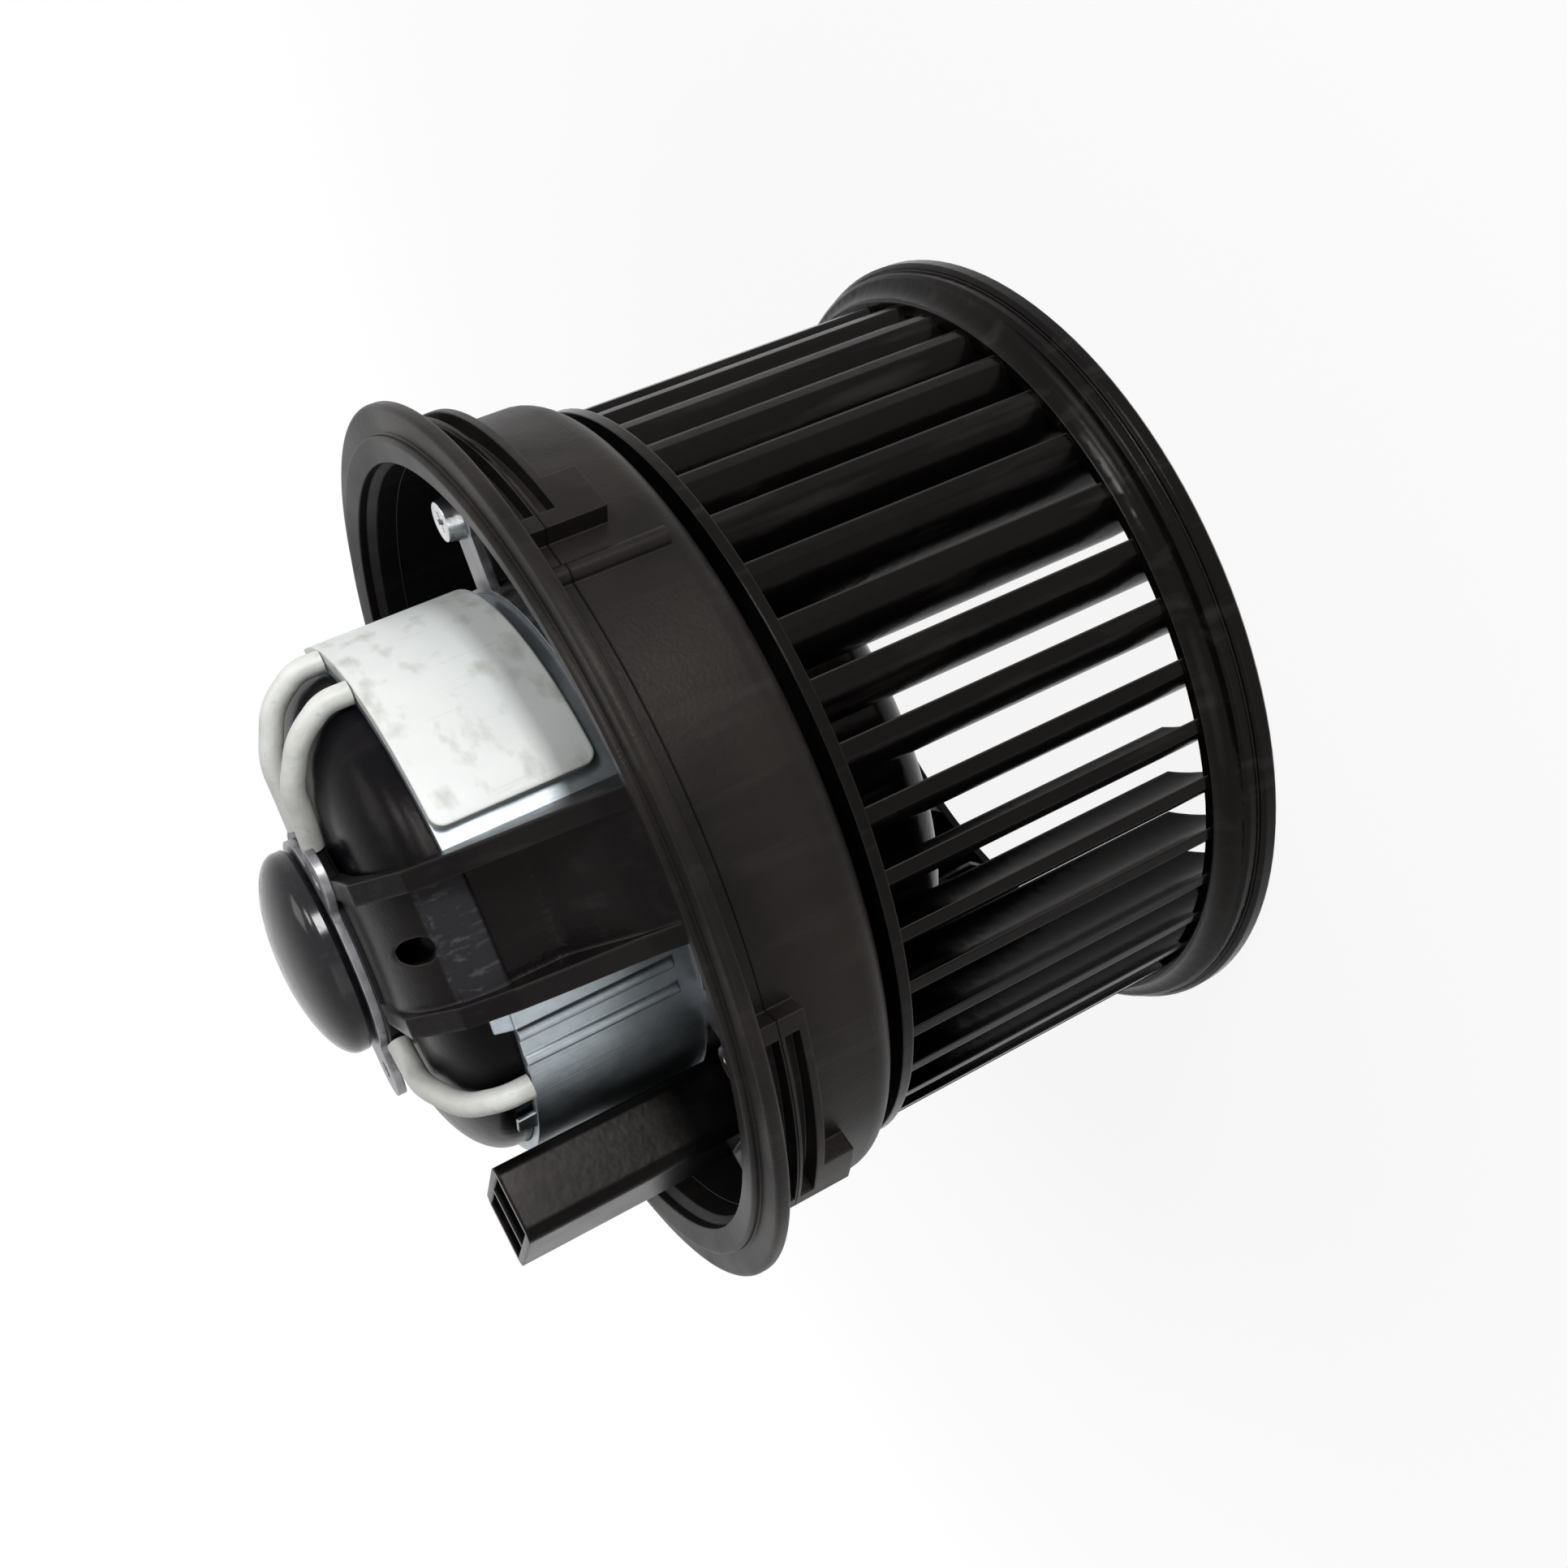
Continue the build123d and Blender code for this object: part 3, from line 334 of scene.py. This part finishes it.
# Flange skin
# The outer edge of the housing's flange and the raised seat ring on it, part of the same moulding.
# Both are turned finer than the solid under them, so that their edges run smoothly round.
skin = 0.00002
flange_r = 0.082
flange_root_r = 0.0745
flange_low = 0.1004 - skin
flange_high = 0.1030 + skin
seat_r = 0.077 + skin
seat_inner_r = 0.0724 - skin
seat_edge_z = 0.1045 + skin
seat_inner_z = 0.1036 + skin
seat_foot_z = 0.1022
flange_corners = (
    (flange_root_r, flange_low),
    (flange_r, flange_low),
    (flange_r, flange_high),
    (seat_r, flange_high),
    (seat_r, seat_edge_z),
    (seat_inner_r, seat_inner_z),
    (seat_inner_r, seat_foot_z),
)
flange_mesh = bpy.data.meshes.new("flange_skin")
flange_shape = bmesh.new()
flange_line = [flange_shape.verts.new((r, 0, z)) for r, z in flange_corners]
for near, far in zip(flange_line, flange_line[1:] + flange_line[:1]):
    flange_shape.edges.new((near, far))
bmesh.ops.spin(
    flange_shape,
    geom=flange_shape.verts[:] + flange_shape.edges[:],
    cent=(0, 0, 0),
    axis=(0, 0, 1),
    angle=2 * pi,
    steps=240,
    use_merge=True,
)
bmesh.ops.recalc_face_normals(flange_shape, faces=flange_shape.faces[:])


def hoops(shape, radius, low, high):
    """Edges that run round the shaft at that radius, between two heights."""
    level_within = 1e-6
    radius_within = 1e-5
    found = []
    for edge in shape.edges:
        ends = [v.co for v in edge.verts]
        level = abs(ends[0].z - ends[1].z) < level_within
        on_radius = all(abs(end.xy.length - radius) < radius_within for end in ends)
        if level and on_radius and all(low <= end.z <= high for end in ends):
            found.append(edge)
    return found


for hoop_r, hoop_low, hoop_high, hoop_round in (
    (flange_r, 0.1, 0.104, 0.0009),
    (seat_r, 0.104, 0.105, 0.0008),
):
    bmesh.ops.bevel(
        flange_shape,
        geom=hoops(flange_shape, hoop_r, hoop_low, hoop_high),
        offset=hoop_round,
        segments=5,
        profile=0.5,
        affect="EDGES",
        material=-1,
    )
flange_shape.to_mesh(flange_mesh)
flange_shape.free()
flange_mesh.shade_smooth()
flange_mesh.set_sharp_from_angle(angle=radians(30))
flange_skin = bpy.data.objects.new("flange_skin", flange_mesh)
bpy.context.scene.collection.objects.link(flange_skin)
flange_mesh.materials.append(grained_black)
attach(flange_skin, "stator")

# Cradle
# Two channel-shaped arms that hold the motor's tail, part of the housing's moulding. The floor of
# each has a greyer, scratched pad towards the tail and a glossier recess next to it.
floor_side = 0.0092
floor_soft = 0.0001
pad_low, pad_high, pad_soft = 0.1256, 0.1332, 0.0002
pad_grey, pad_scratch = (0.020, 0.020, 0.0235), (0.055, 0.053, 0.056)
recess_low, recess_high, recess_soft = 0.1150, 0.1252, 0.0004
recess_polish = 0.16
arm_black = moulded_plastic(
    name="arm_black",
    color=(0.0026, 0.0024, 0.0026),
    dust_and_sheen_color=(0.0075, 0.0064, 0.0062),
    roughness=0.30,
    specular=0.10,
    grain_size=0.0008,
    grain_depth=0.00004,
    rub_and_glint_color=(0.060, 0.055, 0.054),
    edge_round=0.001,
)
arm_tree, arm_shader, arm_where = parts_of(arm_black)
arm_plain = arm_shader.inputs["Base Color"].links[0].from_socket
arm_floor = band(arm_tree, arm_where, "Y", -floor_side, floor_side, floor_soft)
pad_height = band(arm_tree, arm_where, "Z", pad_low, pad_high, pad_soft)
arm_pad = multiplied(arm_tree, arm_floor, pad_height)
pad_streaks = clouds(arm_tree, arm_where, size=0.0012, detail=3.0, stretch=(1, 1, 0.06))
pad_scratches = spread(arm_tree, pad_streaks, start=0.55, end=0.66)
pad_color = two_tone(arm_tree, pad_scratches, pad_grey, pad_scratch)
arm_color = laid_over(arm_tree, arm_pad, arm_plain, pad_color)
arm_tree.links.new(arm_color, arm_shader.inputs["Base Color"])
recess_height = band(arm_tree, arm_where, "Z", recess_low, recess_high, recess_soft)
arm_recess = multiplied(arm_tree, arm_floor, recess_height)
arm_gloss = arm_tree.nodes.new("ShaderNodeMath")
arm_gloss.operation = "SUBTRACT"
arm_tree.links.new(arm_shader.inputs["Roughness"].links[0].from_socket, arm_gloss.inputs[0])
arm_tree.links.new(scaled(arm_tree, arm_recess, 0.0, recess_polish), arm_gloss.inputs[1])
arm_tree.links.new(arm_gloss.outputs[0], arm_shader.inputs["Roughness"])
dress(arm_black, "cradle")

# Connector arm
# The hollow arm with the plug's two sockets, part of the housing's moulding. Its tool was polished,
# so it is smoother than the drum and a deeper black.
column_black = moulded_plastic(
    name="column_black",
    color=(0.0014, 0.0013, 0.0014),
    dust_and_sheen_color=(0.0040, 0.0034, 0.0032),
    roughness=0.28,
    specular=0.07,
    grain_size=0.0015,
    grain_depth=0.00003,
    rub_and_glint_color=(0.045, 0.041, 0.040),
    edge_round=0.0008,
)
dress(column_black, "connector_arm")

# Connector terminals
# Two flat blades stamped from brass sheet and tinned. They are pressed into the sockets of the
# connector arm.
tinned, tinned_tree, tinned_shader, tinned_where = new_finish("tinned_brass")
tinned_shader.inputs["Metallic"].default_value = 1.0
tinned_cloud = clouds(tinned_tree, tinned_where, size=0.0015, detail=3.0)
tinned_shade = spread(tinned_tree, tinned_cloud)
tinned_color = two_tone(tinned_tree, tinned_shade, (0.42, 0.40, 0.34), (0.62, 0.60, 0.54))
tinned_tree.links.new(tinned_color, tinned_shader.inputs["Base Color"])
tinned_gloss = scaled(tinned_tree, tinned_shade, low=0.25, high=0.4)
tinned_tree.links.new(tinned_gloss, tinned_shader.inputs["Roughness"])
dress(tinned, "connector_terminals")

# Motor can
# A deep-drawn steel cup, galvanised before it was drawn: bluish zinc with faint crystals, fine
# drawing lines along the shaft and a duller bloom in places.
crystals_per_metre = 900
crystal_cover = 0.22
zinc_edge_cover = 0.5
zinc_dark, zinc_light = (0.27, 0.31, 0.34), (0.44, 0.49, 0.52)
zinc_crystal, zinc_edge = (0.58, 0.62, 0.66), (0.72, 0.75, 0.77)
galvanised, zinc_tree, zinc_shader, zinc_where = new_finish("galvanised_steel")
zinc_shader.inputs["Metallic"].default_value = 1.0
zinc_crystals = zinc_tree.nodes.new("ShaderNodeTexVoronoi")
zinc_crystals.inputs["Scale"].default_value = crystals_per_metre
zinc_tree.links.new(zinc_where, zinc_crystals.inputs["Vector"])
zinc_split = zinc_tree.nodes.new("ShaderNodeSeparateColor")
zinc_tree.links.new(zinc_crystals.outputs["Color"], zinc_split.inputs[0])
zinc_bloom = clouds(zinc_tree, zinc_where, size=0.009, detail=4.0)
zinc_lines = clouds(zinc_tree, zinc_where, size=0.0006, detail=3.0, stretch=(1, 1, 0.03))
zinc_base = two_tone(zinc_tree, zinc_bloom, zinc_dark, zinc_light)
zinc_share = scaled(zinc_tree, zinc_split.outputs[0], 0.0, crystal_cover)
zinc_spangle = laid_over(zinc_tree, zinc_share, zinc_base, zinc_crystal)
zinc_round, zinc_edges = rounded_edges(zinc_tree, radius=0.0005)
# The colour is brighter along every sharp edge.
zinc_edge_share = scaled(zinc_tree, zinc_edges, 0.0, zinc_edge_cover)
zinc_color = laid_over(zinc_tree, zinc_edge_share, zinc_spangle, zinc_edge)
zinc_tree.links.new(zinc_color, zinc_shader.inputs["Base Color"])
zinc_gloss = spread(zinc_tree, zinc_bloom, low=0.48, high=0.34)
zinc_tree.links.new(zinc_gloss, zinc_shader.inputs["Roughness"])
zinc_relief = relief(zinc_tree, zinc_lines, depth=0.00003, under=zinc_round)
zinc_tree.links.new(zinc_relief, zinc_shader.inputs["Normal"])
dress(galvanised, "motor_can")


# Mounting band, screws and tail plate
# Zinc-plated steel. The band and the plate are dull pressings, and the brighter pan-head screws
# hold the band's ears down on the housing.
def plated_steel(name, dark, light, rough_low, rough_high):
    """Zinc plating on a pressing: cloudy brightness, fine pits and bright edges."""
    finish, tree, shader, where = new_finish(name)
    shader.inputs["Metallic"].default_value = 1.0
    cloud = clouds(tree, where, size=0.003, detail=4.0)
    rounded, edges = rounded_edges(tree, radius=0.0003)
    color = laid_over(tree, edges, two_tone(tree, spread(tree, cloud), dark, light), light)
    tree.links.new(color, shader.inputs["Base Color"])
    tree.links.new(spread(tree, cloud, rough_low, rough_high), shader.inputs["Roughness"])
    pits = clouds(tree, where, size=0.0005, detail=2.0)
    tree.links.new(relief(tree, pits, depth=0.00002, under=rounded), shader.inputs["Normal"])
    return finish


dull_plating = plated_steel(
    name="dull_plating",
    dark=(0.20, 0.20, 0.21),
    light=(0.34, 0.34, 0.36),
    rough_low=0.34,
    rough_high=0.5,
)
dress(dull_plating, "mounting_band", "tail_plate")
bright_plating = plated_steel(
    name="bright_plating",
    dark=(0.50, 0.52, 0.54),
    light=(0.74, 0.76, 0.78),
    rough_low=0.2,
    rough_high=0.32,
)
dress(bright_plating, "mounting_screws")

# End bell
# A smooth black moulding with a slightly purplish satin face. It closes the can, whose folded tabs
# hold it in.
satin_black = moulded_plastic(
    name="satin_black",
    color=(0.0020, 0.0018, 0.0024),
    dust_and_sheen_color=(0.0048, 0.0042, 0.0056),
    roughness=0.26,
    specular=0.07,
    grain_size=0.0016,
    grain_depth=0.00004,
    rub_and_glint_color=(0.03, 0.028, 0.03),
)
dress(satin_black, "end_bell")

# Crimp tabs
# Tongues of the can's own galvanised steel, cut into its open edge and folded against the end bell
# to hold it in. They narrow towards their tips.
can_end_z = 0.126
tab_width = 0.0052
tab_height = 0.0034
tab_thick = 0.0009
tab_radius = 0.0449
tab_sink = 0.0002
tab_taper = 0.72
tab_lean = -0.0002
tab_round = 0.00022
tab_lift = can_end_z + tab_height / 2 - tab_sink
tab_mesh = bpy.data.meshes.new("crimp_tabs")
tab_shape = bmesh.new()
for tab_angle in (-20.0, -52.0, -98.0, -128.0, -158.0, 158.0, 136.0, 112.0):
    tab = bmesh.ops.create_cube(tab_shape, size=1.0)["verts"]
    bmesh.ops.scale(tab_shape, vec=(tab_thick, tab_width, tab_height), verts=tab)
    tab_top = [v for v in tab if v.co.z > 0]
    bmesh.ops.scale(tab_shape, vec=(1, tab_taper, 1), verts=tab_top)
    bmesh.ops.translate(tab_shape, vec=(tab_lean, 0, 0), verts=tab_top)
    tab_seat = Matrix.Translation((tab_radius, 0, tab_lift))
    tab_turn = Matrix.Rotation(radians(tab_angle), 4, "Z") @ tab_seat
    bmesh.ops.transform(tab_shape, matrix=tab_turn, verts=tab)
bmesh.ops.bevel(
    tab_shape,
    geom=tab_shape.edges[:],
    offset=tab_round,
    segments=2,
    profile=0.5,
    affect="EDGES",
    material=-1,
)
tab_shape.to_mesh(tab_mesh)
tab_shape.free()
crimp_tabs = bpy.data.objects.new("crimp_tabs", tab_mesh)
bpy.context.scene.collection.objects.link(crimp_tabs)
tab_mesh.materials.append(galvanised)
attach(crimp_tabs, "stator")

# Cover plate
# A natural white nylon plate snapped over the can. Its face is smooth, its cut edges are creamy,
# and grey-olive finger marks lie on it.
nylon_cool, nylon_warm = (0.70, 0.73, 0.72), (0.79, 0.81, 0.79)
nylon_smudge, nylon_groove, nylon_edge = (0.36, 0.37, 0.31), (0.55, 0.56, 0.52), (0.70, 0.68, 0.57)
smudge_cover = 0.62
scratch_cover = 0.3
nylon, nylon_tree, nylon_shader, nylon_where = new_finish("natural_nylon")
nylon_round, nylon_edges = rounded_edges(nylon_tree, radius=0.0007)
nylon_cloud = spread(nylon_tree, clouds(nylon_tree, nylon_where, size=0.02, detail=3.0))
nylon_face = two_tone(nylon_tree, nylon_cloud, nylon_cool, nylon_warm)
nylon_prints = clouds(nylon_tree, nylon_where, size=0.0075, detail=5.0, stretch=(1, 1, 1.6))
nylon_smudges = spread(nylon_tree, nylon_prints, 0.0, smudge_cover, start=0.53, end=0.72)
nylon_marked = laid_over(nylon_tree, nylon_smudges, nylon_face, nylon_smudge)
nylon_streaks = clouds(nylon_tree, nylon_where, size=0.0012, detail=4.0, stretch=(1, 1, 0.08))
nylon_scratches = spread(nylon_tree, nylon_streaks, 0.0, scratch_cover, start=0.64, end=0.72)
nylon_scratched = laid_over(nylon_tree, nylon_scratches, nylon_marked, nylon_groove)
nylon_color = laid_over(nylon_tree, nylon_edges, nylon_scratched, nylon_edge)
nylon_tree.links.new(nylon_color, nylon_shader.inputs["Base Color"])
nylon_gloss = scaled(nylon_tree, nylon_smudges, low=0.38, high=0.5)
nylon_tree.links.new(nylon_gloss, nylon_shader.inputs["Roughness"])
nylon_waves = clouds(nylon_tree, nylon_where, size=0.006, detail=1.0)
nylon_relief = relief(nylon_tree, nylon_waves, depth=0.0001, under=nylon_round)
nylon_tree.links.new(nylon_relief, nylon_shader.inputs["Normal"])
dress(nylon, "cover_plate")

# Tail cap
# A glossy black mushroom-shaped cap, moulded in plastic and pressed into the tail plate. It has a
# few rub marks.
gloss_black, cap_tree, cap_shader, cap_where = new_finish("gloss_black")
cap_cloud = clouds(cap_tree, cap_where, size=0.0022, detail=5.0)
cap_rubs = spread(cap_tree, cap_cloud, start=0.58, end=0.75)
cap_color = two_tone(cap_tree, cap_rubs, (0.0075, 0.0075, 0.0095), (0.022, 0.022, 0.026))
cap_tree.links.new(cap_color, cap_shader.inputs["Base Color"])
cap_gloss = scaled(cap_tree, cap_rubs, low=0.16, high=0.34)
cap_tree.links.new(cap_gloss, cap_shader.inputs["Roughness"])
cap_shader.inputs["Specular IOR Level"].default_value = 0.3
cap_ripple = clouds(cap_tree, cap_where, size=0.005, detail=1.0)
cap_tree.links.new(relief(cap_tree, cap_ripple, depth=0.00006), cap_shader.inputs["Normal"])
dress(gloss_black, "tail_cap")

# Leads
# Extruded white rubber sleeves drawn over the motor's leads. They are satin, with a slightly uneven
# skin and greyish handling marks.
sleeve_cool, sleeve_warm = (0.62, 0.63, 0.58), (0.76, 0.77, 0.74)
sleeve_mark = (0.40, 0.40, 0.36)
mark_cover = 0.6
sleeve, sleeve_tree, sleeve_shader, sleeve_where = new_finish("white_sleeve")
sleeve_cloud = spread(sleeve_tree, clouds(sleeve_tree, sleeve_where, size=0.005, detail=4.0))
sleeve_face = two_tone(sleeve_tree, sleeve_cloud, sleeve_cool, sleeve_warm)
sleeve_spots = clouds(sleeve_tree, sleeve_where, size=0.0025, detail=5.0)
sleeve_marks = spread(sleeve_tree, sleeve_spots, 0.0, mark_cover, start=0.62, end=0.76)
sleeve_color = laid_over(sleeve_tree, sleeve_marks, sleeve_face, sleeve_mark)
sleeve_tree.links.new(sleeve_color, sleeve_shader.inputs["Base Color"])
sleeve_shader.inputs["Roughness"].default_value = 0.42
sleeve_skin = clouds(sleeve_tree, sleeve_where, size=0.0009, detail=2.0)
sleeve_relief = relief(sleeve_tree, sleeve_skin, depth=0.00008)
sleeve_tree.links.new(sleeve_relief, sleeve_shader.inputs["Normal"])
dress(sleeve, "lead_upper", "lead_far", "lead_lower")

# Fan wheel
# One moulding in talc-filled black plastic: the hub dish, the curved blades and the stepped intake
# rim. The tool was polished, so it is glossier than the housing, with flow marks along the blades.
wheel_black = moulded_plastic(
    name="wheel_black",
    color=(0.0014, 0.0012, 0.0012),
    dust_and_sheen_color=(0.0040, 0.0033, 0.0030),
    roughness=0.22,
    specular=0.10,
    grain_size=0.0022,
    grain_depth=0.00005,
    # The rubs and the painted glint along the rim's and blades' edges take this colour.
    rub_and_glint_color=(0.085, 0.076, 0.072),
)
dress(wheel_black, "wheel_hub", "wheel_blades", "wheel_rim")


# Shaft and hub clip
# A ground steel shaft with fine lines round it, and a clip of spring steel that is pushed on to
# hold the wheel.
def turned_metal(name, dark, light, line_size, line_stretch, rough_low, rough_high, depth):
    """Metal that was turned or ground true, with fine lines round the shaft."""
    finish, tree, shader, where = new_finish(name)
    shader.inputs["Metallic"].default_value = 1.0
    lines = clouds(tree, where, size=line_size, detail=3.0, stretch=line_stretch)
    tree.links.new(two_tone(tree, spread(tree, lines), dark, light), shader.inputs["Base Color"])
    tree.links.new(spread(tree, lines, rough_low, rough_high), shader.inputs["Roughness"])
    tree.links.new(relief(tree, lines, depth), shader.inputs["Normal"])
    return finish


ground_steel = turned_metal(
    name="ground_steel",
    dark=(0.45, 0.45, 0.46),
    light=(0.66, 0.67, 0.68),
    line_size=0.0012,
    line_stretch=(0.2, 0.2, 6),
    rough_low=0.22,
    rough_high=0.34,
    depth=0.00001,
)
dress(ground_steel, "motor_shaft")
spring_steel = plated_steel(
    name="spring_steel",
    dark=(0.22, 0.22, 0.25),
    light=(0.42, 0.42, 0.46),
    rough_low=0.28,
    rough_high=0.4,
)
dress(spring_steel, "hub_clip", "brush_springs")


# Bearings, retainers and washer
# Oil-filled bushes of sintered bronze that carry the shaft, held by thin rings of pressed steel.
# The thrust washer is moulded in nylon.
def pressed_powder(name, dark, light, roughness, speck_size, depth, detail=4.0, metallic=0.0):
    """Dull material pressed from powder, with specks or pores of that size."""
    finish, tree, shader, where = new_finish(name)
    specks = clouds(tree, where, size=speck_size, detail=detail)
    tree.links.new(two_tone(tree, spread(tree, specks), dark, light), shader.inputs["Base Color"])
    shader.inputs["Metallic"].default_value = metallic
    shader.inputs["Roughness"].default_value = roughness
    tree.links.new(relief(tree, specks, depth), shader.inputs["Normal"])
    return finish


bronze = pressed_powder(
    name="sintered_bronze",
    dark=(0.20, 0.13, 0.06),
    light=(0.46, 0.32, 0.17),
    roughness=0.42,
    speck_size=0.0004,
    depth=0.00005,
    detail=3.0,
    metallic=0.9,
)
dress(bronze, "front_bearing", "rear_bearing")
dress(dull_plating, "front_bearing_retainer", "rear_bearing_retainer")
dress(nylon, "front_thrust_washer")

# Magnets
# Two curved segments of pressed and fired ferrite, dark grey and stony. They are ground on their
# faces and glued into the can.
ferrite = pressed_powder(
    name="ferrite",
    dark=(0.018, 0.018, 0.020),
    light=(0.05, 0.05, 0.054),
    roughness=0.62,
    speck_size=0.0006,
    depth=0.00006,
)
dress(ferrite, "magnets")


# Armature core
# Thin steel sheets stacked along the shaft and pressed on to it, so that the pole faces show fine
# lines across it.
def striped_metal(name, dark, light, axis, pitch, depth, metallic, roughness):
    """Sheets or wires that lie side by side and follow each other along the axis at that pitch."""
    finish, tree, shader, where = new_finish(name)
    wave = tree.nodes.new("ShaderNodeTexWave")
    wave.bands_direction = axis
    # At a scale of 1 the wave repeats every pi / 10 metres.
    wave.inputs["Scale"].default_value = pi / (10 * pitch)
    tree.links.new(where, wave.inputs["Vector"])
    stripes = wave.outputs["Fac"]
    tree.links.new(two_tone(tree, stripes, dark, light), shader.inputs["Base Color"])
    shader.inputs["Metallic"].default_value = metallic
    shader.inputs["Roughness"].default_value = roughness
    tree.links.new(relief(tree, stripes, depth), shader.inputs["Normal"])
    return finish


stack = striped_metal(
    name="lamination_stack",
    dark=(0.14, 0.14, 0.15),
    light=(0.34, 0.34, 0.36),
    axis="Z",
    pitch=0.0006,
    depth=0.00008,
    metallic=1.0,
    roughness=0.4,
)
dress(stack, "armature_core")

# Armature windings
# Enamelled copper wire wound through the slots of the core. The wires lie side by side, and their
# varnish is glossy.
copper = striped_metal(
    name="enamelled_copper",
    dark=(0.10, 0.028, 0.010),
    light=(0.42, 0.15, 0.06),
    axis="Z",
    pitch=0.0008,
    depth=0.0003,
    metallic=0.85,
    roughness=0.3,
)
dress(copper, "armature_windings")

# Commutator
# Copper bars on a moulded sleeve, pressed on the shaft and turned true, so that fine bright lines
# run round it where the brushes rub.
bars = turned_metal(
    name="turned_copper",
    dark=(0.24, 0.10, 0.05),
    light=(0.62, 0.30, 0.17),
    line_size=0.001,
    line_stretch=(0.2, 0.2, 8),
    rough_low=0.22,
    rough_high=0.4,
    depth=0.00002,
)
dress(bars, "commutator")

# Brush card, brushes and chokes
# The card is brown phenolic board with its paper layers showing, the brushes are pressed carbon,
# and the chokes are wire wound on ferrite rods.
board = pressed_powder(
    name="phenolic_board",
    dark=(0.055, 0.026, 0.012),
    light=(0.12, 0.06, 0.028),
    roughness=0.5,
    speck_size=0.0012,
    depth=0.00004,
)
dress(board, "brush_card")
carbon = pressed_powder(
    name="pressed_carbon",
    dark=(0.012, 0.012, 0.013),
    light=(0.035, 0.035, 0.037),
    roughness=0.48,
    speck_size=0.0004,
    depth=0.00004,
)
dress(carbon, "brushes")
choke_coil = striped_metal(
    name="wound_choke",
    dark=(0.06, 0.02, 0.008),
    light=(0.40, 0.16, 0.07),
    axis="X",
    pitch=0.0011,
    depth=0.0004,
    metallic=0.8,
    roughness=0.32,
)
dress(choke_coil, "chokes")
